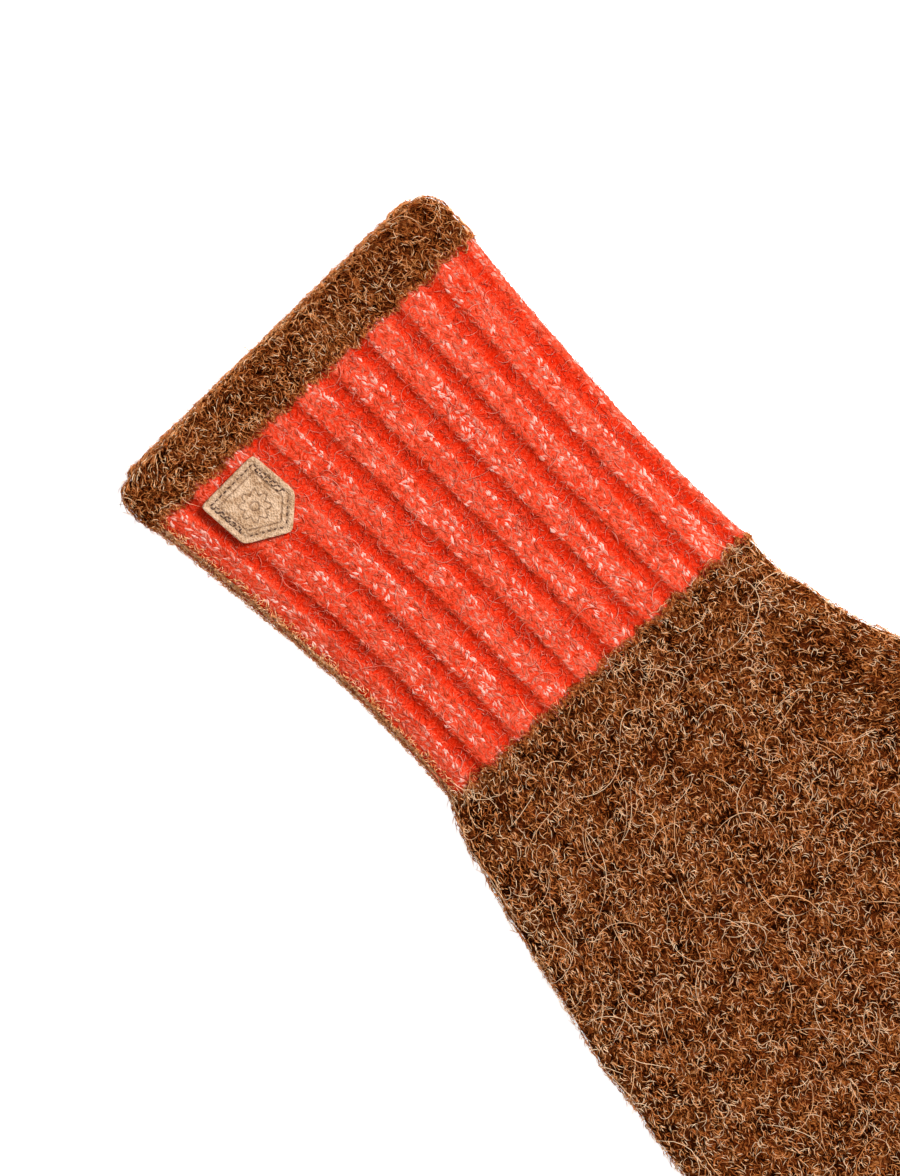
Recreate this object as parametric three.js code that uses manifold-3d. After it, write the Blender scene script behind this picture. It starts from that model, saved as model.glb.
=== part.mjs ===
// A knitted wool mitten for the right hand, lying palm down.
// A flared coral cuff in two-by-two rib carries a brown edge band and a small leather tag.
// The brown hand is a closed pouch with a thumb gusset, and the thumb is a tube of its own.
// Millimetres. The fingertips point along +Y, the little finger's side is +X, and the palm lies on z = 0.
// Every row of a table is one section across the mitten, with y counted from the wrist seam.

import * as THREE from 'three';
import { mergeVertices } from 'three/addons/utils/BufferGeometryUtils.js';
import Module from 'manifold-3d';

const wasm = await Module();
wasm.setup();

// Fabric and seams
const WALL = 2.5; // thickness of the fulled knit
const SEAM_GAP = 0.3; // clearance between pieces that are joined by knitting or sewing
const CORNER = 0.62; // exponent of the flattened section: 1 is an ellipse, towards 0 a box
const UNDER_CUT = 1.6; // how far each section would reach into the table, and is pressed flat
const OUTLINE_STEPS = 480; // fine steps by which a section is measured along its outline
const MERGE_TOLERANCE = 1e-5;
const OPEN_END = 4; // how far a hollow runs past an open end
const HALF_SPACE = 400; // side of the block that stands for one side of a seam

// Ribs of the cuff, counted all the way round
const RIB_COUNT = 20;
const RIB_START = 0.25; // first ridge, in ribs from the thumb edge
const RIB_DEPTH = 1.0; // from ridge to valley on the outside
const RIB_DEPTH_INSIDE = 0.6;
const RIB_PROFILE = [
  { place: 0.0, rise: 0.0 },
  { place: 0.13, rise: 0.15 },
  { place: 0.25, rise: 0.9 },
  { place: 0.5, rise: 1.0 },
  { place: 0.75, rise: 0.9 },
  { place: 0.87, rise: 0.15 },
];

// Gathers at the wrist, where the ribs run out into the hand
const GATHER_DEPTH = 0.7;
const GATHER_REACH = 9; // length over which the gathers fade
const GATHER_PLACES = [{ place: 0 }, { place: 0.32 }, { place: 0.68 }]; // points of one gather

// Edge band. along is a share of its length from the rim, proud how far it stands out over the ridges.
const BAND_ROWS = [
  { along: 0, proud: -0.9 },
  { along: 0.09, proud: -0.1 },
  { along: 0.25, proud: 0.45 },
  { along: 0.55, proud: 0.5 },
  { along: 0.88, proud: 0.45 },
  { along: 1, proud: -0.1 },
];

// Leather tag
const TAG = { width: 15, side: 11.3, point: 5.5, thick: 1.0, corner: 1.1, bevel: 0.2 };
const TAG_PLACE = { x: 25.2, y: -71.0, turn: 2.5, lift: 0.35 };

// Sag of the empty tube's top between its two folded edges
const CUFF_SAG = 0.7;
const HAND_SAG = 1.3;
const THUMB_LIFT = 0.2; // the thumb's tube lies a little higher than the palm

// Sections of the cuff with its band. lean is how far y runs on for each mm of x from a section's centre.
const CUFF_SECTIONS = [
  { y: -93.0, thumb: -44.0, pinky: 43.2, height: 14.5, lean: -0.012 },
  { y: -81.6, thumb: -43.9, pinky: 43.0, height: 14.4, lean: -0.045 },
  { y: -66.0, thumb: -42.4, pinky: 41.2, height: 14.0, lean: -0.045 },
  { y: -48.0, thumb: -41.1, pinky: 39.5, height: 13.8, lean: -0.045 },
  { y: -30.0, thumb: -40.2, pinky: 38.3, height: 13.8, lean: -0.046 },
  { y: -14.0, thumb: -40.2, pinky: 38.3, height: 14.0, lean: -0.047 },
  { y: 0.6, thumb: -40.6, pinky: 39.0, height: 14.4, lean: -0.052 },
];

// Sections of the hand's pouch, from the wrist seam to the tip
const HAND_SECTIONS = [
  { y: 0.6, thumb: -40.5, pinky: 39.8, height: 14.6, lean: -0.052 },
  { y: 6.0, thumb: -40.0, pinky: 42.4, height: 15.6, lean: -0.045 },
  { y: 16.0, thumb: -39.8, pinky: 45.4, height: 16.4, lean: -0.02 },
  { y: 30.0, thumb: -39.4, pinky: 49.2, height: 17.0, lean: 0 },
  { y: 45.0, thumb: -38.4, pinky: 52.4, height: 17.4, lean: 0 },
  { y: 58.0, thumb: -36.8, pinky: 55.4, height: 17.6, lean: 0 },
  { y: 68.0, thumb: -36.2, pinky: 56.6, height: 17.6, lean: 0 },
  { y: 80.0, thumb: -37.0, pinky: 58.8, height: 17.4, lean: 0 },
  { y: 96.0, thumb: -38.4, pinky: 59.6, height: 17.2, lean: 0 },
  { y: 114.0, thumb: -38.8, pinky: 59.4, height: 16.8, lean: 0 },
  { y: 132.0, thumb: -37.4, pinky: 57.6, height: 16.2, lean: 0 },
  { y: 147.0, thumb: -34.0, pinky: 53.8, height: 15.4, lean: 0 },
  { y: 159.0, thumb: -28.4, pinky: 47.8, height: 14.4, lean: 0 },
  { y: 168.0, thumb: -20.8, pinky: 40.2, height: 13.0, lean: 0 },
  { y: 174.6, thumb: -11.4, pinky: 31.0, height: 11.0, lean: 0 },
  { y: 178.6, thumb: -0.6, pinky: 20.4, height: 7.6, lean: 0 },
  { y: 180.0, thumb: 6.2, pinky: 13.6, height: 4.4, lean: 0 },
];

// Sections of the gusset and thumb. Below the crotch they lie inside the pouch's edge.
const THUMB_SECTIONS = [
  { y: 8.0, thumb: -38.6, pinky: -20.0, height: 12.0, lean: 0 },
  { y: 18.0, thumb: -41.6, pinky: -19.0, height: 15.0, lean: 0 },
  { y: 28.0, thumb: -43.8, pinky: -19.4, height: 16.2, lean: 0 },
  { y: 38.0, thumb: -47.4, pinky: -22.0, height: 16.8, lean: 0 },
  { y: 48.0, thumb: -53.4, pinky: -27.0, height: 16.8, lean: 0 },
  { y: 58.0, thumb: -59.4, pinky: -32.2, height: 16.6, lean: 0 },
  { y: 68.0, thumb: -64.0, pinky: -36.9, height: 16.2, lean: 0.3 },
  { y: 78.0, thumb: -67.2, pinky: -40.0, height: 15.8, lean: 0.28 },
  { y: 88.0, thumb: -69.5, pinky: -42.2, height: 15.2, lean: 0.22 },
  { y: 97.0, thumb: -70.8, pinky: -43.8, height: 14.4, lean: 0.14 },
  { y: 105.0, thumb: -70.0, pinky: -46.0, height: 13.2, lean: 0.08 },
  { y: 110.6, thumb: -67.6, pinky: -49.0, height: 11.2, lean: 0.04 },
  { y: 113.8, thumb: -64.2, pinky: -52.6, height: 8.4, lean: 0.02 },
  { y: 115.0, thumb: -60.8, pinky: -56.0, height: 5.0, lean: 0 },
];

// Soft dents in the top of the hand: length along its own direction, width across it, and turn from +Y
const DENTS = [
  { x: 6, y: 96, long: 46, wide: 17, depth: 0.9, turn: 6 },
  { x: -27, y: 40, long: 26, wide: 6, depth: 1.3, turn: 24 },
  { x: 33, y: 36, long: 24, wide: 6, depth: 0.7, turn: -14 },
  { x: 30, y: 132, long: 26, wide: 10, depth: 0.7, turn: 18 },
];
const THUMB_SEAM = { x: -50, y: 67.5, lean: 0.3 }; // where the thumb's own tube starts, square to its axis

// Gives the smooth section at any y between a table's rows.
function sectionsOf(rows) {
  const curve = (column) => {
    const points = rows.map((row) => new THREE.Vector3(row[column], row.y, row.height));
    return new THREE.CatmullRomCurve3(points, false, 'catmullrom', 0.5);
  };
  const thumbEdge = curve('thumb');
  const pinkyEdge = curve('pinky');
  return (t) => {
    const a = thumbEdge.getPoint(t);
    const b = pinkyEdge.getPoint(t);
    const row = t * (rows.length - 1);
    const low = Math.min(Math.floor(row), rows.length - 2);
    const lean = THREE.MathUtils.lerp(rows[low].lean, rows[low + 1].lean, row - low);
    return { y: a.y, thumb: a.x, pinky: b.x, height: a.z, lean };
  };
}

const signedPower = (value, power) => Math.sign(value) * Math.abs(value) ** power;

// The outline of one section, in fine steps from the thumb edge over the top, with its length so far.
function outlineOf(section, inset, sag) {
  const half = (section.pinky - section.thumb) / 2 - inset;
  const centre = (section.pinky + section.thumb) / 2;
  const low = Math.min(UNDER_CUT, section.height * 0.12);
  const rise = (section.height + low) / 2 - inset;
  const middle = (section.height - low) / 2;
  const points = [];
  let length = 0;
  for (let i = 0; i <= OUTLINE_STEPS; i++) {
    const angle = Math.PI - (2 * Math.PI * i) / OUTLINE_STEPS;
    const across = signedPower(Math.cos(angle), CORNER);
    const up = signedPower(Math.sin(angle), CORNER);
    const dip = up > 0 ? sag * up * (1 - across * across) ** 1.5 : 0;
    const x = centre + half * across;
    const z = Math.max(middle + rise * up - dip, inset);
    if (i > 0) length += Math.hypot(x - points[i - 1].x, z - points[i - 1].z);
    points.push({ x, z, length });
  }
  return points;
}

// The place at a share of an outline's length, moved in by depth square to the outline.
function walk(outline, share, depth) {
  const wanted = (share - Math.floor(share)) * outline[OUTLINE_STEPS].length;
  let i = 1;
  while (i < OUTLINE_STEPS && outline[i].length < wanted) i++;
  const a = outline[i - 1];
  const b = outline[i];
  const part = (wanted - a.length) / Math.max(b.length - a.length, 1e-9);
  const run = Math.hypot(b.x - a.x, b.z - a.z) || 1;
  const inward = { x: (b.z - a.z) / run, z: -(b.x - a.x) / run };
  return {
    x: THREE.MathUtils.lerp(a.x, b.x, part) + inward.x * depth,
    z: THREE.MathUtils.lerp(a.z, b.z, part) + inward.z * depth,
  };
}

// Bends a capped cylinder into a tube that lies along Y.
// place gives the point for a share round, a share along and a share out from the cap's middle.
function bentCylinder(shares, rows, place) {
  const cylinder = new THREE.CylinderGeometry(1, 1, 1, shares.length, rows);
  cylinder.deleteAttribute('normal');
  cylinder.deleteAttribute('uv');
  const geometry = mergeVertices(cylinder, MERGE_TOLERANCE);
  const position = geometry.getAttribute('position');
  for (let i = 0; i < position.count; i++) {
    const turn = Math.atan2(position.getX(i), position.getZ(i)) / (2 * Math.PI);
    const step = Math.round((turn + 1) * shares.length) % shares.length;
    const out = Math.hypot(position.getX(i), position.getZ(i)) > 0.5 ? 1 : 0;
    const point = place(shares[step], position.getY(i) + 0.5, out);
    position.setXYZ(i, point.x, point.y, point.z);
  }
  return geometry;
}

// How far the dents lower the top at a place
function dentAt(x, y) {
  let depth = 0;
  for (const dent of DENTS) {
    const turn = THREE.MathUtils.degToRad(dent.turn);
    const along = ((y - dent.y) * Math.cos(turn) - (x - dent.x) * Math.sin(turn)) / dent.long;
    const across = ((x - dent.x) * Math.cos(turn) + (y - dent.y) * Math.sin(turn)) / dent.wide;
    depth += dent.depth * Math.exp(-along * along - across * across);
  }
  return depth;
}

// A closed tube through a table's sections, from share start to share end of its rows.
// relief gives how far a share round the section is drawn in, at a given y.
// before and after carry the first and last section on straight, for cutting an open end.
function tube({
  rows,
  shares,
  steps,
  inset = 0,
  sag = 0,
  relief = () => 0,
  start = 0,
  end = 1,
  before = 0,
  after = 0,
  dented = false,
  lift = 0,
}) {
  const sectionAt = sectionsOf(rows);
  const measured = new Map();
  const measure = (along) => {
    if (!measured.has(along)) {
      const section = sectionAt(THREE.MathUtils.lerp(start, end, along));
      measured.set(along, { section, outline: outlineOf(section, inset, sag) });
    }
    return measured.get(along);
  };
  return bentCylinder(shares, steps, (share, along, out) => {
    const { section, outline } = measure(along);
    const edge = walk(outline, share, relief(share, section.y));
    const centre = (section.thumb + section.pinky) / 2;
    const x = THREE.MathUtils.lerp(centre, edge.x, out);
    const past = along < 0.001 ? -before : along > 0.999 ? after : 0;
    const y = section.y + section.lean * (x - centre) + past;
    const z = THREE.MathUtils.lerp(section.height / 2, Math.max(edge.z, inset), out);
    const sunk = dented ? dentAt(x, y) * (z / section.height) ** 2 : 0;
    return { x, y, z: Math.max(z - sunk, inset) + lift };
  });
}

const evenShares = (count) => Array.from({ length: count }, (_, i) => i / count);

// Shares round the cuff at which its ribs are drawn
function ribShares(places) {
  const shares = [];
  for (let rib = 0; rib < RIB_COUNT; rib++) {
    for (const { place } of places) shares.push((rib + place + RIB_START - 0.5) / RIB_COUNT);
  }
  return shares;
}

// How high the rib stands at a share round the cuff, from 0 in a valley to 1 on a ridge
function ribRise(share) {
  const place = (share * RIB_COUNT - RIB_START + 0.5 + RIB_COUNT) % 1;
  const next = RIB_PROFILE.findIndex((step) => step.place > place + 1e-6);
  const b = next < 0 ? { place: 1, rise: 0 } : RIB_PROFILE[next];
  const a = RIB_PROFILE[(next < 0 ? RIB_PROFILE.length : next) - 1];
  return THREE.MathUtils.lerp(a.rise, b.rise, (place - a.place) / (b.place - a.place));
}

function solidOf(geometry) {
  const mesh = new wasm.Mesh({
    numProp: 3,
    vertProperties: geometry.getAttribute('position').array,
    triVerts: new Uint32Array(geometry.index.array),
  });
  return new wasm.Manifold(mesh);
}

function geometryOf(solid) {
  const { vertProperties, triVerts } = solid.getMesh();
  const geometry = new THREE.BufferGeometry();
  geometry.setAttribute('position', new THREE.BufferAttribute(vertProperties, 3));
  geometry.setIndex(new THREE.BufferAttribute(triVerts, 1));
  geometry.computeVertexNormals();
  return geometry;
}

const coralWool = new THREE.MeshStandardMaterial({ color: 0xe0452a, roughness: 0.95, metalness: 0 });
const brownWool = new THREE.MeshStandardMaterial({ color: 0x6f4423, roughness: 0.97, metalness: 0 });
const tanLeather = new THREE.MeshStandardMaterial({ color: 0xcfa87c, roughness: 0.7, metalness: 0 });

// The share of the cuff's table at which the band stops and the ribs start
const BAND_END = 1 / (CUFF_SECTIONS.length - 1);
const BAND_LENGTH = CUFF_SECTIONS[1].y - CUFF_SECTIONS[0].y;
const HALF_GAP = (BAND_END * SEAM_GAP) / 2 / BAND_LENGTH; // half a seam's gap, as a share of the table

// Ribbed cuff: a corrugated wall, open at both ends
function ribbedCuff() {
  const outer = tube({
    rows: CUFF_SECTIONS,
    shares: ribShares(RIB_PROFILE),
    steps: 6,
    sag: CUFF_SAG,
    relief: (share) => RIB_DEPTH * (1 - ribRise(share)),
    start: BAND_END + HALF_GAP,
    end: 1 - HALF_GAP,
  });
  const inner = tube({
    rows: CUFF_SECTIONS,
    shares: ribShares([{ place: 0 }, { place: 0.25 }, { place: 0.75 }]),
    steps: 6,
    inset: WALL,
    sag: CUFF_SAG,
    relief: (share) => RIB_DEPTH_INSIDE * (1 - ribRise(share)),
    start: BAND_END,
    before: OPEN_END,
    after: OPEN_END,
  });
  return geometryOf(solidOf(outer).subtract(solidOf(inner)));
}

// Edge band: a plain thick welt, rounded in at the rim and a little at the ribs
function edgeBand() {
  const sectionAt = sectionsOf(CUFF_SECTIONS);
  const outer = bentCylinder(evenShares(56), BAND_ROWS.length - 1, (share, along, out) => {
    const row = BAND_ROWS[Math.round(along * (BAND_ROWS.length - 1))];
    const section = sectionAt(row.along * (BAND_END - HALF_GAP));
    const edge = walk(outlineOf(section, 0, CUFF_SAG), share, -row.proud);
    const centre = (section.thumb + section.pinky) / 2;
    const x = THREE.MathUtils.lerp(centre, edge.x, out);
    const z = THREE.MathUtils.lerp(section.height / 2, Math.max(edge.z, 0), out);
    return { x, y: section.y + section.lean * (x - centre), z };
  });
  const inner = tube({
    rows: CUFF_SECTIONS,
    shares: evenShares(44),
    steps: 2,
    inset: WALL,
    sag: CUFF_SAG,
    end: BAND_END,
    before: OPEN_END,
    after: OPEN_END,
  });
  return geometryOf(solidOf(outer).subtract(solidOf(inner)));
}

// The pouch for the palm and fingers, with the ribs' gathers running out into it from the wrist
function pouch({ inset = 0, grown = 0 }) {
  const gathers = (share, y) => {
    const fade = Math.exp(-Math.max(y - HAND_SECTIONS[0].y, 0) / GATHER_REACH);
    return GATHER_DEPTH * (1 - ribRise(share)) * fade - grown;
  };
  return tube({
    rows: HAND_SECTIONS,
    shares: inset > 0 ? evenShares(36) : ribShares(GATHER_PLACES),
    steps: inset > 0 ? 15 : 22,
    inset,
    sag: HAND_SAG,
    relief: inset > 0 ? undefined : gathers,
    start: HALF_GAP,
    end: inset > 0 ? 0.91 : 1,
    before: inset > 0 ? OPEN_END : 0,
    dented: true,
  });
}

// The gusset and the thumb in one run
function thumbRun({ inset = 0 }) {
  return tube({
    rows: THUMB_SECTIONS,
    shares: evenShares(inset > 0 ? 24 : 32),
    steps: inset > 0 ? 12 : 16,
    inset,
    start: inset > 0 ? 0.1 : 0,
    end: inset > 0 ? 0.87 : 1,
    dented: true,
    lift: THUMB_LIFT,
  });
}

// Everything on one side of the thumb's seam
function thumbSide({ above, gap }) {
  const box = new THREE.BoxGeometry(HALF_SPACE, HALF_SPACE, HALF_SPACE);
  box.deleteAttribute('normal');
  box.deleteAttribute('uv');
  const side = mergeVertices(box, MERGE_TOLERANCE);
  side.translate(0, ((above ? 1 : -1) * (HALF_SPACE + gap)) / 2, 0);
  side.rotateZ(Math.atan(THUMB_SEAM.lean));
  side.translate(THUMB_SEAM.x, THUMB_SEAM.y, 0);
  return solidOf(side);
}

// Hand: the pouch and the gusset in one wall, open at the wrist and where the thumb starts
function hand() {
  const gusset = solidOf(thumbRun({})).intersect(thumbSide({ above: false, gap: SEAM_GAP }));
  const walls = solidOf(pouch({})).add(gusset);
  const hollow = solidOf(pouch({ inset: WALL })).add(solidOf(thumbRun({ inset: WALL })));
  return geometryOf(walls.subtract(hollow));
}

// Thumb: a tube with a rounded end, square to its own axis where it joins the gusset
function thumb() {
  const outer = solidOf(thumbRun({})).intersect(thumbSide({ above: true, gap: SEAM_GAP }));
  const clearance = solidOf(pouch({ grown: SEAM_GAP }));
  return geometryOf(outer.subtract(solidOf(thumbRun({ inset: WALL }))).subtract(clearance));
}

// Leather tag: a five-sided plate with its point towards the hand, laid on the ridges
function leatherTag() {
  const half = TAG.width / 2;
  const corners = [
    [-half, 0],
    [half, 0],
    [half, TAG.side],
    [0, TAG.side + TAG.point],
    [-half, TAG.side],
  ].map(([x, y]) => new THREE.Vector2(x, y));
  const shape = new THREE.Shape();
  corners.forEach((corner, i) => {
    const before = corners[(i + corners.length - 1) % corners.length];
    const after = corners[(i + 1) % corners.length];
    const start = corner.clone().add(before.clone().sub(corner).setLength(TAG.corner));
    const end = corner.clone().add(after.clone().sub(corner).setLength(TAG.corner));
    if (i === 0) shape.moveTo(start.x, start.y);
    else shape.lineTo(start.x, start.y);
    shape.quadraticCurveTo(corner.x, corner.y, end.x, end.y);
  });
  shape.closePath();
  const plate = new THREE.ExtrudeGeometry(shape, {
    depth: TAG.thick - 2 * TAG.bevel,
    bevelThickness: TAG.bevel,
    bevelSize: TAG.bevel,
    bevelOffset: -TAG.bevel,
    bevelSegments: 1,
    curveSegments: 3,
  });
  plate.deleteAttribute('normal');
  plate.deleteAttribute('uv');
  plate.translate(0, -(TAG.side + TAG.point) / 2, TAG.bevel);
  return geometryOf(solidOf(mergeVertices(plate, 1e-4)));
}

// The top of the cuff's ridges at a place, for seating the tag
function cuffTop(x, y) {
  const sectionAt = sectionsOf(CUFF_SECTIONS);
  let t = 0;
  while (t < 1 && sectionAt(t).y + sectionAt(t).lean * x < y) t += 0.002;
  const outline = outlineOf(sectionAt(t), 0, CUFF_SAG);
  let i = 0;
  while (outline[i].x < x) i++;
  return outline[i].z;
}

// Turns the tag so that it lies along the cuff's own slope at its place.
function seatTag(tag) {
  const { x, y, turn, lift } = TAG_PLACE;
  const reach = TAG.width / 2;
  const slopeX = (cuffTop(x + reach, y) - cuffTop(x - reach, y)) / (2 * reach);
  const slopeY = (cuffTop(x, y + reach) - cuffTop(x, y - reach)) / (2 * reach);
  const highest = Math.max(
    ...[-1, 0, 1].map((side) => cuffTop(x + side * reach, y) - slopeX * side * reach),
  );
  tag.rotation.set(Math.atan(slopeY), -Math.atan(slopeX), THREE.MathUtils.degToRad(turn), 'XYZ');
  tag.position.set(x, y, highest + lift);
}

const mitten = new THREE.Group();

function addPiece(name, geometry, material) {
  const mesh = new THREE.Mesh(geometry, material);
  mesh.name = name;
  mitten.add(mesh);
  return mesh;
}

addPiece('edge_band', edgeBand(), brownWool);
addPiece('ribbed_cuff', ribbedCuff(), coralWool);
addPiece('hand', hand(), brownWool);
addPiece('thumb', thumb(), brownWool);
seatTag(addPiece('leather_tag', leatherTag(), tanLeather));

// The origin is the middle of the footprint, on the surface that the mitten lies on.
mitten.updateMatrixWorld(true);
const footprint = new THREE.Box3().setFromObject(mitten, true);
const middle = footprint.getCenter(new THREE.Vector3());
mitten.children.forEach((mesh) => {
  mesh.position.x -= middle.x;
  mesh.position.y -= middle.y;
});

export default mitten;
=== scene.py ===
# %% [markdown]
# # A knitted wool mitten
# The object is a thick hand-knitted mitten for the right hand. It lies palm down, as it would on a table.
# Its cuff is a coral red rib knit with a brown edge band, the hand is brown fulled wool with a lot of mohair
# in it, and a small leather tag is sewn to the cuff.
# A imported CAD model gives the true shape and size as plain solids. This script keeps that frame and lays
# the knit, the yarn, the loose hair, the leather and the sewing thread on it.

# %% Load the frame
import math

import bmesh
import bpy
import numpy as np
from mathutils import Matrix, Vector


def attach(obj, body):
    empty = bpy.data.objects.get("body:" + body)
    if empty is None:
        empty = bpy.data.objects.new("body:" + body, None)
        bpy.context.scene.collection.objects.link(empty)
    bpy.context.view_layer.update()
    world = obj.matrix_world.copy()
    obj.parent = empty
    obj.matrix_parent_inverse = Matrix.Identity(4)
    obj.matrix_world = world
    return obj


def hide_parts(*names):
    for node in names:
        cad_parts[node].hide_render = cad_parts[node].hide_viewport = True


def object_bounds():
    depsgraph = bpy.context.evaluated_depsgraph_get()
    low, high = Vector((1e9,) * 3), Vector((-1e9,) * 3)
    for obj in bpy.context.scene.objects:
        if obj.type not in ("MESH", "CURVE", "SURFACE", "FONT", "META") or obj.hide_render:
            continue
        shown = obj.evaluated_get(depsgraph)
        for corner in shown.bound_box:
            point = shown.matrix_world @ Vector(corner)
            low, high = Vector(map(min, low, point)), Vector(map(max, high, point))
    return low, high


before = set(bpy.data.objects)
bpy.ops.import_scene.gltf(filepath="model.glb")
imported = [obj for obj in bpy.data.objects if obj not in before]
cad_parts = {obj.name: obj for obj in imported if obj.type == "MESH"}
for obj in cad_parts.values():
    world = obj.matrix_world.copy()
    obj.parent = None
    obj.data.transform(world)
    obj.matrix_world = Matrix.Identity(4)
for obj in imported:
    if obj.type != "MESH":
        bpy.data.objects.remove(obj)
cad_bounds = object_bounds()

MM = 0.001  # Blender works in metres, the tables below in millimetres
cad_size = [(high - low) / MM for low, high in zip(*cad_bounds)]
print("CAD box in mm:", [round(side, 1) for side in cad_size])

# %% [markdown]
# ## The camera
# The mitten is seen from straight above, turned so that its fingers point down to the right. The frame
# cuts off the fingertips and the thumb. A long lens at 1.2 m keeps the sides of the cuff from showing
# too much, as on a product picture taken over a table.
# The frame is 900 by 1176 pixels at 0.2 mm each, and the sensor's width is laid along the long side.

# %% Camera
FRAME_SIDE = 235.2  # mm along the picture's long side
CAMERA_HEIGHT = 1200.0  # mm over the table
LOOK_AT = (14.78, -75.65, 14.0)  # mm, the middle of the picture, level with the mitten's back
CAMERA_TURN = 135.0  # degrees about the vertical


def add_object(name, data):
    thing = bpy.data.objects.new(name, data)
    bpy.context.scene.collection.objects.link(thing)
    return thing


def make_camera():
    data = bpy.data.cameras.new("camera")
    data.sensor_width = 36.0
    data.lens = data.sensor_width * (CAMERA_HEIGHT - LOOK_AT[2]) / FRAME_SIDE
    camera = add_object("camera", data)
    camera.location = (LOOK_AT[0] * MM, LOOK_AT[1] * MM, CAMERA_HEIGHT * MM)
    camera.rotation_euler = (0.0, 0.0, math.radians(CAMERA_TURN))
    bpy.context.scene.camera = camera
    return camera


camera = make_camera()
print("lens in mm:", round(camera.data.lens, 1))

# %% [markdown]
# ## The shape of the knit
# A knitted tube that lies flat has a section like a long box with round ends, pressed flat underneath.
# A short table gives that section at a few places from the opening to the fingertips: how far it reaches
# to the thumb's side and to the little finger's side, how high it is, and how far it leans.
# A smooth curve through the rows gives every section between them.
# Each piece is then laid out with two shares: one round the section, from the thumb's edge over the back,
# and one along the mitten.

# %% Sections
ORIGIN = np.array([5.5896, -43.2438])  # mm, from the wrist's middle to the middle of the footprint
LEAN = 4
# y, thumb side, little finger's side, height, lean
CUFF_SECTIONS = [
    (-93.0, -44.0, 43.2, 14.5, -0.012),
    (-81.6, -43.9, 43.0, 14.4, -0.045),
    (-66.0, -42.4, 41.2, 14.0, -0.045),
    (-48.0, -41.1, 39.5, 13.8, -0.045),
    (-30.0, -40.2, 38.3, 13.8, -0.046),
    (-14.0, -40.2, 38.3, 14.0, -0.047),
    (0.6, -40.6, 39.0, 14.4, -0.052),
]
BAND_SECTIONS = [  # narrower at the rim, where the band's corners are rounded
    (-93.0, -40.0, 39.2, 12.8, -0.012),
    (-92.4, -42.0, 41.2, 13.7, -0.012),
    (-91.2, -43.3, 42.5, 14.3, -0.014),
    (-89.2, -43.9, 43.1, 14.5, -0.02),
    (-86.0, -44.0, 43.2, 14.5, -0.03),
    (-81.75, -43.9, 43.0, 14.4, -0.045),
]
HAND_SECTIONS = [
    (0.6, -40.5, 39.8, 14.6, -0.052),
    (6.0, -40.0, 42.4, 15.6, -0.045),
    (16.0, -39.8, 45.4, 16.4, -0.02),
    (30.0, -39.4, 49.2, 17.0, 0.0),
    (45.0, -38.4, 52.4, 17.4, 0.0),
    (58.0, -36.8, 55.4, 17.6, 0.0),
    (68.0, -36.2, 56.6, 17.6, 0.0),
    (80.0, -37.0, 58.8, 17.4, 0.0),
    (96.0, -38.4, 59.6, 17.2, 0.0),
    (114.0, -38.8, 59.4, 16.8, 0.0),
    (132.0, -37.4, 57.6, 16.2, 0.0),
    (147.0, -34.0, 53.8, 15.4, 0.0),
    (159.0, -28.4, 47.8, 14.4, 0.0),
    (168.0, -20.8, 40.2, 13.0, 0.0),
    (174.6, -11.4, 31.0, 11.0, 0.0),
    (178.6, -0.6, 20.4, 7.6, 0.0),
    (180.0, 6.2, 13.6, 4.4, 0.0),
]
THUMB_SECTIONS = [
    (8.0, -38.6, -20.0, 12.0, 0.0),
    (18.0, -41.6, -19.0, 15.0, 0.0),
    (28.0, -43.8, -19.4, 16.2, 0.0),
    (38.0, -47.4, -22.0, 16.8, 0.0),
    (48.0, -53.4, -27.0, 16.8, 0.0),
    (58.0, -59.4, -32.2, 16.6, 0.0),
    (68.0, -64.0, -36.9, 16.2, 0.3),
    (78.0, -67.2, -40.0, 15.8, 0.28),
    (88.0, -69.5, -42.2, 15.2, 0.22),
    (97.0, -70.8, -43.8, 14.4, 0.14),
    (105.0, -70.0, -46.0, 13.2, 0.08),
    (110.6, -67.6, -49.0, 11.2, 0.04),
    (113.8, -64.2, -52.6, 8.4, 0.02),
    (115.0, -60.8, -56.0, 5.0, 0.0),
]


def section_at(rows, along):
    """Sections at shares of a table's length, on a smooth curve through its rows."""
    table = np.array(rows)
    place = np.clip(along, 0, 1) * (len(table) - 1)
    row = np.minimum(place.astype(int), len(table) - 2)
    part = (place - row)[:, None]
    longer = np.vstack([2 * table[0] - table[1], table, 2 * table[-1] - table[-2]])
    before, low, high, after = (longer[row + i] for i in range(4))
    leaving, arriving = (high - before) / 2, (after - low) / 2
    smooth = (
        (2 * part**3 - 3 * part**2 + 1) * low
        + (part**3 - 2 * part**2 + part) * leaving
        + (3 * part**2 - 2 * part**3) * high
        + (part**3 - part**2) * arriving
    )
    smooth[:, LEAN] = (low + (high - low) * part)[:, LEAN]
    return smooth


print("width at the wrist in mm:", CUFF_SECTIONS[-1][2] - CUFF_SECTIONS[-1][1])

# %% [markdown]
# The outline of a section is an ellipse with squarer corners, cut flat at the table. Its top sags a little
# between the two folded edges. The outline is measured in fine steps, so that a share round it is a share
# of the fabric's real width. That is what keeps the ribs evenly wide.

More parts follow.
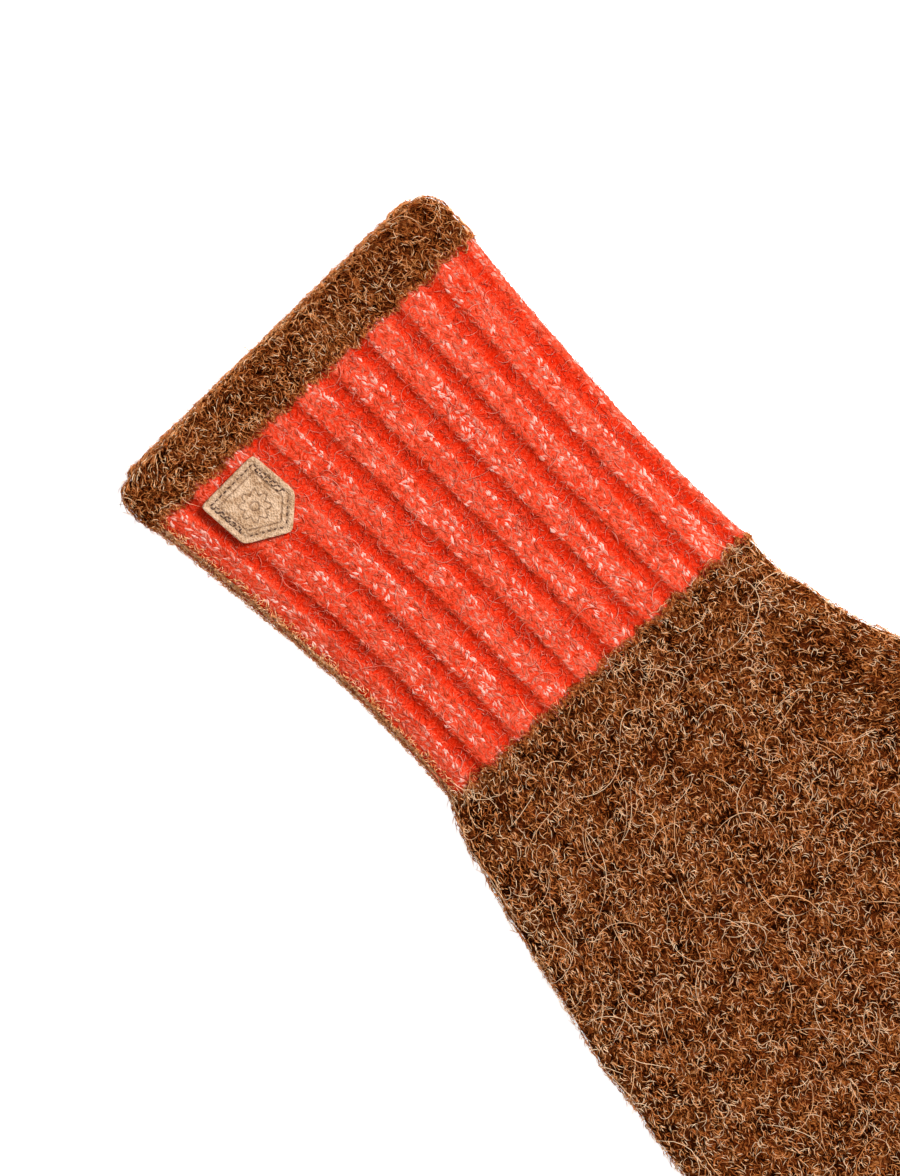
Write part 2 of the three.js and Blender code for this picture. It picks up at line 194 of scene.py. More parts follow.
# %% Outlines and skins
CORNER = 0.62  # 1 is an ellipse, towards 0 a box
UNDER_CUT = 1.6  # mm that a section would reach into the table
OUTLINE_STEPS = 480
WRIST_SEAM, BAND_SEAM = 0.6, -81.7  # y of the seams in mm
SEAM_GAP = 0.3  # mm between pieces that are joined by knitting or sewing
SEAM_REACH = 4  # mm on each side over which a ragged seam runs straight again
SEAM_WAVES = (23, 37, 51, 68, 83)  # waves round the mitten that make its seams ragged
RIB_COUNT = 20
RIB_START = 0.25  # of a rib, from the thumb's edge to the middle of the first ridge
WALL = 2.5  # mm, the knit's thickness
THUMB_LIFT = 0.2  # mm that the thumb lies over the table
DENTS = [  # x, y, length, width, depth, turn from +Y in degrees
    (6, 96, 46, 17, 0.9, 6),
    (-27, 40, 26, 6, 1.3, 24),
    (33, 36, 24, 6, 0.7, -14),
    (30, 132, 26, 10, 0.7, 18),
]


def signed_power(value, power):
    return np.sign(value) * np.abs(value) ** power


def dent_at(x, y):
    """How far the soft dents lower the top of the hand."""
    depth = np.zeros_like(x)
    for dent_x, dent_y, length, width, deep, turn in DENTS:
        angle = math.radians(turn)
        along = ((y - dent_y) * math.cos(angle) - (x - dent_x) * math.sin(angle)) / length
        across = ((x - dent_x) * math.cos(angle) + (y - dent_y) * math.sin(angle)) / width
        depth += deep * np.exp(-(along**2) - across**2)
    return depth


def rib_place(share):
    """Where in its rib a share lies: 0 and 1 in the valley, 0.5 on the ridge."""
    return (share * RIB_COUNT - RIB_START + 0.5) % 1.0


def ragged(share, y):
    """mm by which the seams between brown and red run to and fro, as the ridges reach into the brown."""
    waves = sum(np.sin(share * 2 * math.pi * turns + turns) for turns in SEAM_WAVES)
    to_and_fro = -0.25 * np.cos(2 * math.pi * rib_place(share)) + 0.2 * waves
    wrist, band = (np.exp(-(((y - seam) / SEAM_REACH) ** 2)) for seam in (WRIST_SEAM, BAND_SEAM))
    return to_and_fro * (wrist - band)


def lay_out(rows, shares, alongs, inset=0.0, sag=0.0, dented=False, lift=0.0):
    """Points for every pair of a share along and a share round, in mm."""
    y, thumb, pinky, height, lean = section_at(rows, np.asarray(alongs, float)).T[:, :, None]
    angle = math.pi - 2 * math.pi * np.arange(OUTLINE_STEPS + 1) / OUTLINE_STEPS
    across = signed_power(np.cos(angle), CORNER)[None, :]
    up = signed_power(np.sin(angle), CORNER)[None, :]
    low = np.minimum(UNDER_CUT, height * 0.12)
    centre = (thumb + pinky) / 2
    x = centre + ((pinky - thumb) / 2 - inset) * across
    dip = np.where(up > 0, sag * up * np.clip(1 - across**2, 0, None) ** 1.5, 0)
    z = np.maximum((height - low) / 2 + ((height + low) / 2 - inset) * up - dip, inset)
    steps = np.hypot(np.diff(x, axis=1), np.diff(z, axis=1))
    length = np.hstack([np.zeros((len(x), 1)), np.cumsum(steps, axis=1)])
    wanted = np.asarray(shares, float)
    flat_x = np.array([np.interp(wanted * m[-1], m, row) for m, row in zip(length, x)])
    flat_z = np.array([np.interp(wanted * m[-1], m, row) for m, row in zip(length, z)])
    flat_y = y + lean * (flat_x - centre) + ragged(wanted[None, :], y)
    if dented:
        flat_z = flat_z - dent_at(flat_x, flat_y) * (flat_z / height) ** 2
    flat_z = np.maximum(flat_z, inset) + lift
    return np.stack([flat_x + ORIGIN[0], flat_y + ORIGIN[1], flat_z], axis=-1)


def facing(points):
    """Unit directions straight out of a sheet of points, and the ones round it and along it."""
    around = np.gradient(points, axis=1)
    around[:, 0] = around[:, -1] = points[:, 1] - points[:, -2]
    along = np.gradient(points, axis=0)
    out = np.cross(around, along)
    return [v / np.maximum(np.linalg.norm(v, axis=-1, keepdims=True), 1e-9) for v in (out, around, along)]


SKIN_ROWS, SKIN_COLUMNS = 320, 720  # steps along a skin and round it
LAST = 0.001  # of a step, kept from a skin's last row and column, so that a next one is always there
STEPS_ROUND = np.linspace(0, 1, SKIN_COLUMNS + 1)


def steps_along(first, last):
    return np.linspace(first, last, SKIN_ROWS + 1)


class Skin:
    """A smooth outer surface that pieces are laid on, given as rows of points from its start to its end."""

    def __init__(self, points):
        self.points = points
        self.out, self.around, self.along = facing(self.points)
        self.girth = np.linalg.norm(np.diff(self.points, axis=1), axis=-1).sum(axis=1)
        self.length = np.linalg.norm(np.gradient(self.points, axis=0), axis=-1).mean(axis=1) * SKIN_ROWS
        middles = (self.length[1:] + self.length[:-1]) / 2
        self.run = np.concatenate([[0], np.cumsum(middles / SKIN_ROWS)])

    def read(self, sheet, share, part):
        """The value of a sheet between its points."""
        column = np.clip((share % 1.0) * SKIN_COLUMNS, 0, SKIN_COLUMNS - LAST)
        row = np.clip(part * SKIN_ROWS, 0, SKIN_ROWS - LAST)
        i, j = row.astype(int), column.astype(int)
        u, v = (column - j)[:, None], (row - i)[:, None]
        low = sheet[i, j] * (1 - u) + sheet[i, j + 1] * u
        high = sheet[i + 1, j] * (1 - u) + sheet[i + 1, j + 1] * u
        return low * (1 - v) + high * v

    def place(self, share, part):
        """Where a share round and a part along lie, and the three directions there.
        Past an end the skin goes straight on."""
        inside = np.clip(part, 0, 1)
        sheets = (self.points, self.out, self.around, self.along)
        at, out, around, along = (self.read(sheet, share, inside) for sheet in sheets)
        return at + along * ((part - inside) * self.scale(inside)[1])[:, None], out, around, along

    def scale(self, part):
        """mm for one whole share round, and for one whole part along, at a part."""
        parts = steps_along(0, 1)
        return np.interp(part, parts, self.girth), np.interp(part, parts, self.length)

    def part_at(self, run):
        """The part along that lies so many mm from the start, and straight on past the ends."""
        inside = np.interp(run, self.run, steps_along(0, 1))
        return inside + (run - np.clip(run, 0, self.run[-1])) / self.scale(inside)[1]


BAND_END = 1 / (len(CUFF_SECTIONS) - 1)  # the share of the cuff's table that the band covers
BAND_WIDTH = CUFF_SECTIONS[1][0] - CUFF_SECTIONS[0][0]  # mm
SEAM = SEAM_GAP / 2 * BAND_END / BAND_WIDTH  # half of a seam gap, as a share of a table
CUFF_SPAN = (BAND_END + SEAM, 1 - SEAM)
SAG = {"cuff": 0.7, "hand": 1.3}  # mm that the top sags between the folded edges
RIM = 1.1  # mm that the band's rolled rim stands out past its first section


def rim_points(shares, count):
    """The rolled rim, from the band's outside over its edge to its inside."""
    turns = np.linspace(0, math.pi, count)
    insets = WALL / 2 * (1 - np.cos(turns))
    rows = np.array([lay_out(BAND_SECTIONS, shares, [0.0], inset, SAG["cuff"])[0] for inset in insets])
    rows[..., 1] -= RIM * np.sin(turns)[:, None]
    return rows


cuff_skin = Skin(lay_out(CUFF_SECTIONS, STEPS_ROUND, steps_along(*CUFF_SPAN), sag=SAG["cuff"]))
band_skin = Skin(lay_out(BAND_SECTIONS, STEPS_ROUND, steps_along(0, 1), sag=SAG["cuff"]))
rim_skin = Skin(rim_points(STEPS_ROUND, SKIN_ROWS + 1)[::-1])
hand_skin = Skin(lay_out(HAND_SECTIONS, STEPS_ROUND, steps_along(SEAM, 1), sag=SAG["hand"], dented=True))
thumb_skin = Skin(lay_out(THUMB_SECTIONS, STEPS_ROUND, steps_along(0, 1), dented=True, lift=THUMB_LIFT))
print("top of the hand in mm:", round(float(hand_skin.points[..., 2].max()), 1))

# %% [markdown]
# ## Ribs
# The cuff is a two-by-two rib: two columns of knit stitches stand up as a ridge, and two columns of purl
# stitches sink behind it as a valley. Twenty ribs go round. The ridge is wider than the valley, because
# the sunk columns fold away behind it.

# %% The rib's profile
RIB_DEPTH = 1.1  # mm from ridge to valley
TAG_AT = (30.7896, -114.2438, 13.569)  # mm, the middle of the leather tag's underside
COURSE = 1.6  # mm from one row of stitches to the next
SLOPE = (0.08, 0.24)  # of a rib, from the valley's middle to the foot and to the top of the ridge's side
random = np.random.default_rng(7)


def soft_step(low, high, value):
    """0 up to low, 1 past high, and a soft rise between them."""
    part = np.clip((value - low) / (high - low), 0, 1)
    return part * part * (3 - 2 * part)


def rib_rise(share):
    """1 on a ridge, 0 in a valley."""
    place = rib_place(share)
    return soft_step(*SLOPE, place) * soft_step(*SLOPE, 1 - place)


print("ridge pitch in mm:", round(float(cuff_skin.girth[SKIN_ROWS // 2]) / RIB_COUNT, 1))

# %% [markdown]
# ## Closed skins
# Every soft piece is a real wall with an outside, an inside and rounded rims. It starts from one flat grid:
# its columns go round the mitten and its rows run along the outside, over the rim and back inside.
# Merging the points that meet turns the grid into a closed body.

# %% Helper for closed skins
WAVE_COUNT = 14  # waves that the soft random heights are made of


def wrapped_grid(name, columns, sheet, tone=None):
    """A closed mesh from a sheet of points in mm, one row after the other, with a tone for each point."""
    rows = len(sheet) - 1
    bm = bmesh.new()
    bmesh.ops.create_grid(bm, x_segments=columns, y_segments=rows, size=0.5)
    layer = bm.verts.layers.float.new("tone")
    for vertex in bm.verts:
        column = round((vertex.co.x + 0.5) * columns)
        row = round((vertex.co.y + 0.5) * rows)
        vertex.co = sheet[row, column] * MM
        vertex[layer] = 0.0 if tone is None else tone[row, column]
    bmesh.ops.remove_doubles(bm, verts=bm.verts, dist=1e-6)
    bmesh.ops.dissolve_degenerate(bm, dist=1e-7, edges=bm.edges)
    bmesh.ops.recalc_face_normals(bm, faces=bm.faces)
    mesh = bpy.data.meshes.new(name)
    bm.to_mesh(mesh)
    bm.free()
    mesh.shade_smooth()
    return add_object(name, mesh)


def count_triangles(piece):
    sides = np.empty(len(piece.data.polygons), np.int32)
    piece.data.polygons.foreach_get("loop_total", sides)
    return int(sides.sum() - 2 * len(sides))


def bumps(points, size, seed):
    """Smooth random heights from -1 to 1, made of waves about size mm long in many directions."""
    waves = np.random.default_rng(seed)
    total = np.zeros(points.shape[:-1])
    for _ in range(WAVE_COUNT):
        direction = waves.normal(size=3)
        direction /= np.linalg.norm(direction)
        pitch = size * waves.uniform(0.7, 1.5)
        total += np.sin(points @ direction * (2 * math.pi / pitch) + waves.uniform(0, 2 * math.pi))
    return total / WAVE_COUNT**0.5 / 1.6


print("helpers ready")

# %% [markdown]
# ## The cuff
# On the ridges the base surface lies just under the stitches, which are pieces of their own. The valleys are
# so fulled that no stitch shows in them, so the base surface and the loose hair over it are enough there.
# Each point of the base carries a tone for its material: 1 on a ridge, 0 in a valley, less than that at the
# foot of a ridge, where it is painted shade, and well under 0 on the fold, which is painted brown as the
# shade on the cuff's side where it turns under.

# %% Cuff base
CUFF_COLUMNS, CUFF_ROWS = 280, 50
STITCH_BED = 0.2  # mm by which a ridge's base lies under its stitches
TAG_REACH = 10.0  # mm from the tag's middle, within which its stitches pull the valleys up to it
UPPER_SIDE = 8  # mm over the table, above which a point belongs to the cuff's top
FOOT = (0.84, 0.07)  # of a rib, place and width of the shaded foot of a ridge
FOLD_START, FOLD_END = (0.466, 0.482), (0.56, 0.53)  # shares round between which the fold begins and ends


def near_fold(share):
    """1 on the cuff's fold at the little finger's side, 0 away from it."""
    return soft_step(*FOLD_START, share % 1.0) * soft_step(*FOLD_END, share % 1.0)


def cuff_relief(points, share, part):
    """mm that the cuff's outside stands out of its smooth skin."""
    rise = rib_rise(share)
    from_tag = np.hypot(points[..., 0] - TAG_AT[0], points[..., 1] - TAG_AT[1])
    pulled_up = np.exp(-((from_tag / TAG_REACH) ** 6)) * (points[..., 2] > UPPER_SIDE)
    valley = RIB_DEPTH * (1 - rise) * (1 - pulled_up)
    return -valley - STITCH_BED * rise + 0.1 * bumps(points, 4.0, 3)


def make_cuff():
    shares = np.linspace(0, 1, CUFF_COLUMNS + 1)
    alongs = np.linspace(*CUFF_SPAN, CUFF_ROWS + 1)
    smooth = lay_out(CUFF_SECTIONS, shares, alongs, sag=SAG["cuff"])
    out = facing(smooth)[0]
    outside = smooth + out * cuff_relief(smooth, shares[None, :], alongs)[..., None]
    outside[..., 2] = np.maximum(outside[..., 2], 0.0)
    inside = lay_out(CUFF_SECTIONS, shares, alongs[::-10], inset=WALL, sag=SAG["cuff"])
    sheet = np.concatenate([outside, inside, outside[:1]])
    foot = np.exp(-(((rib_place(shares) - FOOT[0]) / FOOT[1]) ** 2))
    # painted shade: the tone drops at the foot of each ridge, and far under 0 on the fold, which the material
    # paints brown
    tone = rib_rise(shares) - 0.5 * foot - 2 * near_fold(shares)
    return wrapped_grid("cuff_base", CUFF_COLUMNS, sheet, np.tile(tone, (len(sheet), 1)))


cuff = make_cuff()
print("cuff base triangles:", count_triangles(cuff))

# %% [markdown]
# ## Many small copies
# The yarn, the nap and the sewing thread are thousands of small things. A hair system or a scatter of
# instances can't be handed on as a part, so each kind is one joined mesh: a small ball is made once, and its
# points are placed again for every copy. Every copy carries a tone that its material turns into a colour.

# %% Joined copies
def ball(sides, rings):
    """Points and faces of a small sphere with its poles on the Z axis."""
    bm = bmesh.new()
    bmesh.ops.create_uvsphere(bm, u_segments=sides, v_segments=rings, radius=1.0)
    points = np.array([vertex.co[:] for vertex in bm.verts])
    faces = [[vertex.index for vertex in face.verts] for face in bm.faces]
    bm.free()
    return points, faces


def joined_copies(name, points, faces, tone):
    """One mesh from copies of a shape: points is copies x corners x 3 in mm, tone one value for each copy."""
    copies, corners = points.shape[:2]
    sizes = np.tile([len(face) for face in faces], copies)
    corner_list = np.concatenate(faces)
    loops = (corner_list[None, :] + corners * np.arange(copies)[:, None]).ravel()
    mesh = bpy.data.meshes.new(name)
    mesh.vertices.add(copies * corners)
    mesh.vertices.foreach_set("co", (points * MM).ravel())
    mesh.loops.add(len(loops))
    mesh.loops.foreach_set("vertex_index", loops)
    mesh.polygons.add(len(sizes))
    mesh.polygons.foreach_set("loop_start", np.concatenate([[0], np.cumsum(sizes)[:-1]]))
    mesh.update(calc_edges=True)
    mesh.attributes.new("tone", "FLOAT", "POINT").data.foreach_set("value", np.repeat(tone, corners))
    mesh.shade_smooth()
    mesh.validate()
    return add_object(name, mesh)


print("copies helper ready")

# %% [markdown]
# ## The edge band
# The band is a thick knitted welt without ribs. It stands out a little over the ridges and rounds in at the
# rim. It has the same brown wool as the hand.

# %% Edge band
BAND_COLUMNS, BAND_ROWS, RIM_ROWS = 240, 25, 10
NAP_BED = 0.25  # mm by which the base of the brown wool lies under its nap
BAND_SWELL = [  # share of its length from the rim, mm that it stands out
    (0.0, 0.0),
    (0.3, 0.25),
    (0.6, 0.5),
    (0.93, 0.45),
    (0.975, 0.2),
    (1.0, -0.2),
]


def rim_relief(points, share, part):
    """mm of lumps on the band and its rim."""
    return 0.24 * bumps(points, 3.6, 11) + 0.12 * bumps(points, 1.6, 12)


def band_relief(points, share, part):
    """mm that the band stands out of the smooth skin, with its lumps."""
    return np.interp(part, *np.array(BAND_SWELL).T) + rim_relief(points, share, part)


def make_band():
    shares = np.linspace(0, 1, BAND_COLUMNS + 1)
    places = np.linspace(1, 0, BAND_ROWS + 1)
    tube = lay_out(BAND_SECTIONS, shares, places, sag=SAG["cuff"])
    smooth = np.concatenate([tube, rim_points(shares, RIM_ROWS + 1)[1:]])
    out = facing(smooth[::-1])[0][::-1]
    along = np.concatenate([places, np.zeros(RIM_ROWS)])[:, None]
    relief = band_relief(smooth, shares[None, :], along) - NAP_BED
    relief[:, -1] = relief[:, 0]
    outside = smooth + out * relief[..., None]
    outside[..., 2] = np.maximum(outside[..., 2], 0.0)
    inside = lay_out(BAND_SECTIONS, shares, places[::-5][1:], inset=WALL, sag=SAG["cuff"])
    return wrapped_grid("band_base", BAND_COLUMNS, np.concatenate([outside, inside, outside[:1]]))


band = make_band()
print("band triangles:", count_triangles(band))

# %% [markdown]
# ## The hand and the thumb
# The hand is a closed pouch, and the gusset that leads into the thumb is part of it. Both are laid out as
# closed tubes and joined with a Boolean, and their hollows are cut out the same way, as the inside of the
# real mitten runs on into the thumb. The thumb's own tube starts square to its axis at the crotch.
# The wool is fulled until its stitches run together, so the surface has soft lumps and only a trace of the
# knitted columns.

# %% Hand and thumb base
HAND_COLUMNS, HAND_ROWS = 184, 104
THUMB_COLUMNS, THUMB_ROWS = 96, 130
GATHER_DEPTH = 0.7  # mm, where the ribs run out into the hand
GATHER_REACH = 9.0  # mm
THUMB_SEAM = {"x": -50.0, "y": 67.5, "lean": 0.3}  # mm, and the seam's slope
HAND_WALES, THUMB_WALES = 72, 26  # knitted columns round the hand, 2.9 mm each, and round the thumb
OPEN_END = 4.0  # mm that a hollow runs past an opening
HAND_HOLLOW = {"columns": 60, "alongs": np.linspace(SEAM, 0.91, 40)}
THUMB_HOLLOW = {"columns": 40, "alongs": np.linspace(0.1, 0.87, 24)}


def fulled(points, share, wales):
    """mm of lumps and faint knitted columns on the brown wool."""
    columns = np.cos(share * 2 * math.pi * wales)
    return 0.3 * bumps(points, 6.0, 21) + 0.2 * bumps(points, 2.6, 22) + 0.14 * columns


def hand_relief(points, share, part):
    """mm that the hand stands out of its smooth skin: its lumps, and gathers where the ribs run out."""
    from_wrist = np.maximum(points[..., 1] - ORIGIN[1], 0)
    gathers = -GATHER_DEPTH * (1 - rib_rise(share)) * np.exp(-from_wrist / GATHER_REACH)
    return gathers + fulled(points, share, HAND_WALES) * soft_step(0, 5, from_wrist)


def thumb_relief(points, share, part):
    return fulled(points, share, THUMB_WALES)


def closed_tube(name, rows, columns, alongs, relief=None, before=0.0, **shape):
    """A tube with both ends closed, laid out through a table's sections. before carries its start on."""
    shares = np.linspace(0, 1, columns + 1)
    sheet = lay_out(rows, shares, alongs, **shape)
    if relief:
        heights = relief(sheet, shares[None, :], alongs[:, None]) - NAP_BED
        heights[:, -1] = heights[:, 0]
        sheet = sheet + facing(sheet)[0] * heights[..., None]
        sheet[..., 2] = np.maximum(sheet[..., 2], shape.get("lift", 0.0))
    sheet[0, :, 1] -= before
    ends = [np.repeat(row.mean(axis=0)[None, None], columns + 1, axis=1) for row in (sheet[0], sheet[-1])]
    return wrapped_grid(name, columns, np.concatenate([ends[0], sheet, ends[1]]))


def cut_at_seam(piece, keep_thumb):
    """Cuts a tube at the thumb's seam and closes the cut."""
    bm = bmesh.new()
    bm.from_mesh(piece.data)
    angle = math.atan(THUMB_SEAM["lean"])
    normal = np.array([-math.sin(angle), math.cos(angle), 0.0])
    place = np.array([THUMB_SEAM["x"] + ORIGIN[0], THUMB_SEAM["y"] + ORIGIN[1], 0.0])
    place = place + normal * (SEAM_GAP / 2 if keep_thumb else -SEAM_GAP / 2)
    everything = bm.verts[:] + bm.edges[:] + bm.faces[:]
    cut = bmesh.ops.bisect_plane(
        bm,
        geom=everything,
        plane_co=place * MM,
        plane_no=normal,
        clear_outer=not keep_thumb,
        clear_inner=keep_thumb,
    )
    rim = [item for item in cut["geom_cut"] if isinstance(item, bmesh.types.BMEdge)]
    bmesh.ops.edgeloop_fill(bm, edges=rim)
    bmesh.ops.triangulate(bm, faces=[face for face in bm.faces if len(face.verts) > 4])
    bmesh.ops.recalc_face_normals(bm, faces=bm.faces)
    bm.to_mesh(piece.data)
    bm.free()


def combine(target, tool, operation):
    """Joins a tool to a piece, or cuts it out, and removes the tool."""
    modifier = target.modifiers.new(operation, "BOOLEAN")
    modifier.operation = operation
    modifier.solver = "MANIFOLD"
    modifier.object = tool
    made = bpy.data.meshes.new_from_object(target.evaluated_get(bpy.context.evaluated_depsgraph_get()))
    target.modifiers.clear()
    old = target.data
    target.data = made
    bpy.data.meshes.remove(old)
    bpy.data.objects.remove(tool)


THUMB_SHAPE = {"dented": True, "lift": THUMB_LIFT}
HAND_SHAPE = {"sag": SAG["hand"], "dented": True}


def thumb_run(name):
    """The thumb's whole run, from inside the hand to its tip."""
    alongs = np.linspace(0, 1, THUMB_ROWS)
    return closed_tube(name, THUMB_SECTIONS, THUMB_COLUMNS, alongs, thumb_relief, **THUMB_SHAPE)


def cut_hollow(piece, rows, hollow, **shape):
    """Cuts the room inside the wall out of a piece."""
    combine(piece, closed_tube("hollow", rows, **hollow, inset=WALL, **shape), "DIFFERENCE")


def make_hand():
    alongs = np.linspace(SEAM, 1, HAND_ROWS)
    hand = closed_tube("hand_base", HAND_SECTIONS, HAND_COLUMNS, alongs, hand_relief, **HAND_SHAPE)
    gusset = thumb_run("gusset")
    cut_at_seam(gusset, False)
    combine(hand, gusset, "UNION")
    cut_hollow(hand, HAND_SECTIONS, HAND_HOLLOW, before=OPEN_END, **HAND_SHAPE)
    cut_hollow(hand, THUMB_SECTIONS, THUMB_HOLLOW, **THUMB_SHAPE)
    hand.data.shade_smooth()
    return hand


def make_thumb():
    thumb = thumb_run("thumb_base")
    cut_at_seam(thumb, True)
    cut_hollow(thumb, THUMB_SECTIONS, THUMB_HOLLOW, **THUMB_SHAPE)
    thumb.data.shade_smooth()
    return thumb


hand = make_hand()
thumb = make_thumb()
print("hand triangles:", count_triangles(hand), "thumb triangles:", count_triangles(thumb))

# %% [markdown]
# ## The leather tag
# A five-sided tag is sewn to the cuff beside the band, with its point towards the hand. It is one plate of
# tanned leather, a millimetre thick, with rounded corners and an edge that wear has softened.
# A fine skin of rings runs from the middle of its top out to the edge and back underneath, so that the furrow
# under the stitches, the pressed line inside them and the small flower pressed in its middle are real shape.
# The tag leans with the cuff that it lies on.

# %% Leather tag
TAG_CORNERS = np.array([(-7.35, -7.9), (7.45, -8.5), (7.15, 2.95), (-1.4, 8.45), (-7.75, 3.35)])  # mm
TAG_THICK = 1.0  # mm
TAG_ROUND = 0.42  # mm, how soft its corners are
TAG_TURN = (-0.02709, 0.05960, 0.04363)  # radians about x, y and z
TAG_COLUMNS, TAG_RINGS = 180, 46
STITCH_INSET = 1.35  # mm from the tag's edge to its stitches
STITCH_PITCH = 1.2  # mm
FURROW = 0.35  # mm, half of the width that the stitches pull down
LINE_INSET = 2.5  # mm to the pressed line inside them
LINE_WIDTHS = (0.16, 0.16, 0.14)  # mm, half of the width of the petals', the ring's and the border's line
PULL_DEPTH, PRESS_DEPTH = 0.22, 0.24  # mm that the stitches pull the leather down and the press goes in
FLOWER = {"down": 0.6, "petals": 8, "radius": 2.2, "petal": 1.1, "ring": 0.9}  # sizes in mm
TAG_EDGE = [  # share of the way out from the middle, height as a share of the thickness
    (0.99, 0.9),
    (1.0, 0.75),
    (1.004, 0.5),
    (1.0, 0.2),
    (0.985, 0.05),
    (0.95, 0.0),
    (0.0, 0.0),
]


def side_distances(x, y):
    """mm from places on the tag to each of its five sides."""
    distances = []
    for start, end in zip(TAG_CORNERS, np.roll(TAG_CORNERS, -1, axis=0)):
        along = (end - start) / np.linalg.norm(end - start)
        distances.append((y - start[1]) * along[0] - (x - start[0]) * along[1])
    return distances


def rounded_outline(count):
    """Points round the tag, with rounded corners."""
    angles = np.linspace(0, 2 * math.pi, count, endpoint=False)
    reach = np.linspace(0, 12, 601)[:, None]
    sides = side_distances(reach * np.cos(angles), reach * np.sin(angles))
    soft = -TAG_ROUND * np.log(sum(np.exp(-side / TAG_ROUND) for side in sides))
    first = np.argmax(soft < 0, axis=0)
    pick = np.arange(count)
    part = soft[first - 1, pick] / (soft[first - 1, pick] - soft[first, pick])
    at = reach[first - 1, 0] + part * (reach[first, 0] - reach[first - 1, 0])
    return np.stack([at * np.cos(angles), at * np.sin(angles)], axis=-1)


def pressed(x, y):
    """How deep the tag's top is pressed, from 0 to 1: a line along its sides, and a flower with a ring."""
    y_flower = y + FLOWER["down"]
    radius, angle = np.hypot(x, y_flower), np.arctan2(y_flower, x)
    petals = FLOWER["radius"] + FLOWER["petal"] * np.abs(np.cos(FLOWER["petals"] / 2 * angle)) ** 1.5
    from_side = np.minimum.reduce(side_distances(x, y))
    distances = (radius - petals, radius - FLOWER["ring"], from_side - LINE_INSET)
    return np.clip(sum(np.exp(-((d / wide) ** 2)) for d, wide in zip(distances, LINE_WIDTHS)), 0, 1)


def furrow(x, y):
    """1 under the stitches, which pull the leather down, and 0 away from them."""
    from_side = np.minimum.reduce(side_distances(x, y))
    return np.exp(-(((from_side - STITCH_INSET) / FURROW) ** 2))


def tag_top(x, y):
    """Height of the tag's top, with the pressed lines and the furrow under the stitches."""
    lumps = 0.06 * bumps(np.stack([x, y, x * 0], axis=-1), 5.0, 31)
    return TAG_THICK - PULL_DEPTH * furrow(x, y) - PRESS_DEPTH * pressed(x, y) + lumps


def seated(points):
    """Turns points on the tag to the way it lies on the cuff."""
    ax, ay, az = TAG_TURN
    turn_x = np.array([[1, 0, 0], [0, math.cos(ax), -math.sin(ax)], [0, math.sin(ax), math.cos(ax)]])
    turn_y = np.array([[math.cos(ay), 0, math.sin(ay)], [0, 1, 0], [-math.sin(ay), 0, math.cos(ay)]])
    turn_z = np.array([[math.cos(az), -math.sin(az), 0], [math.sin(az), math.cos(az), 0], [0, 0, 1]])
    return points @ (turn_x @ turn_y @ turn_z).T + TAG_AT


def make_tag():
    edge = rounded_outline(TAG_COLUMNS)
    edge = np.vstack([edge, edge[:1]])
    sheet, tone = [], []
    for part in np.linspace(0, 0.97, TAG_RINGS):
        x, y = (edge * part).T
        sheet.append(np.stack([x, y, tag_top(x, y)], axis=-1))
        # the pressed lines are darkened, as the press darkens leather, and the furrow under the stitches is
        # painted shade
        tone.append(np.clip(pressed(x, y) + 0.5 * furrow(x, y), 0, 1))
    for part, height in TAG_EDGE:
        x, y = (edge * part).T
        sheet.append(np.stack([x, y, np.full_like(x, height * TAG_THICK)], axis=-1))
        tone.append(np.zeros_like(x))
    return wrapped_grid("tag_leather", TAG_COLUMNS, seated(np.array(sheet)), np.array(tone))


tag = make_tag()
print("tag triangles:", count_triangles(tag))

# %% [markdown]
# ## Sewing thread
# The tag is held by a line of running stitches close to its edge. On two of its sides a second line runs
# beside the first, and short slanting stitches join the two. Each stitch that shows is a short piece of dark
# waxed thread with both ends pulled into the leather, so it is a small stretched ball.

# %% Thread
SECOND_LINE = 0.8  # mm from the first line of stitches to the second
BAR_INSET = 0.42  # mm from the first line to the middle of the stitches that join the two
DOUBLE_SIDES = (1, 4)  # the sides with two lines
BAR_TURN = 1.1  # radians that the joining stitches are turned
STITCH_HALVES = [0.46, 0.16, 0.14]  # mm, half of a stitch's length, width and height


def side_stitches(inset, sides):
    """Places and directions of a line of stitches along some of the tag's sides."""
    rows = []
    for side in sides:
        start, end = TAG_CORNERS[side], TAG_CORNERS[(side + 1) % 5]
        along = (end - start) / np.linalg.norm(end - start)
        inward = np.array([-along[1], along[0]])
        length = np.linalg.norm(end - start) - 2 * inset
        count = int(length / STITCH_PITCH)
        for place in (np.arange(count) + 0.5) * length / count + inset:
            rows.append((*(start + along * place + inward * inset), math.atan2(along[1], along[0])))
    return rows


def make_thread():
    first = side_stitches(STITCH_INSET, range(len(TAG_CORNERS)))
    second = side_stitches(STITCH_INSET + SECOND_LINE, DOUBLE_SIDES)
    between = side_stitches(STITCH_INSET + BAR_INSET, DOUBLE_SIDES)
    x, y, turn = np.array(first + second + [(x, y, turn + BAR_TURN) for x, y, turn in between]).T
    turn = turn + random.normal(0, 0.14, len(x))
    x, y = x + random.normal(0, 0.05, len(x)), y + random.normal(0, 0.05, len(x))
    shape, faces = ball(8, 6)
    stretch = shape[None, :, [2, 0, 1]] * STITCH_HALVES * random.uniform(0.8, 1.2, (len(x), 1, 1))
    cos, sin = np.cos(turn)[:, None], np.sin(turn)[:, None]
    points = np.stack(
        [
            x[:, None] + stretch[..., 0] * cos - stretch[..., 1] * sin,
            y[:, None] + stretch[..., 0] * sin + stretch[..., 1] * cos,
            tag_top(x, y)[:, None] + 0.05 + stretch[..., 2] - 0.6 * stretch[..., 0] ** 2,
        ],
        axis=-1,
    )
    return joined_copies("tag_thread", seated(points), faces, random.uniform(0, 1, len(x)))


thread = make_thread()
print("thread triangles:", count_triangles(thread))

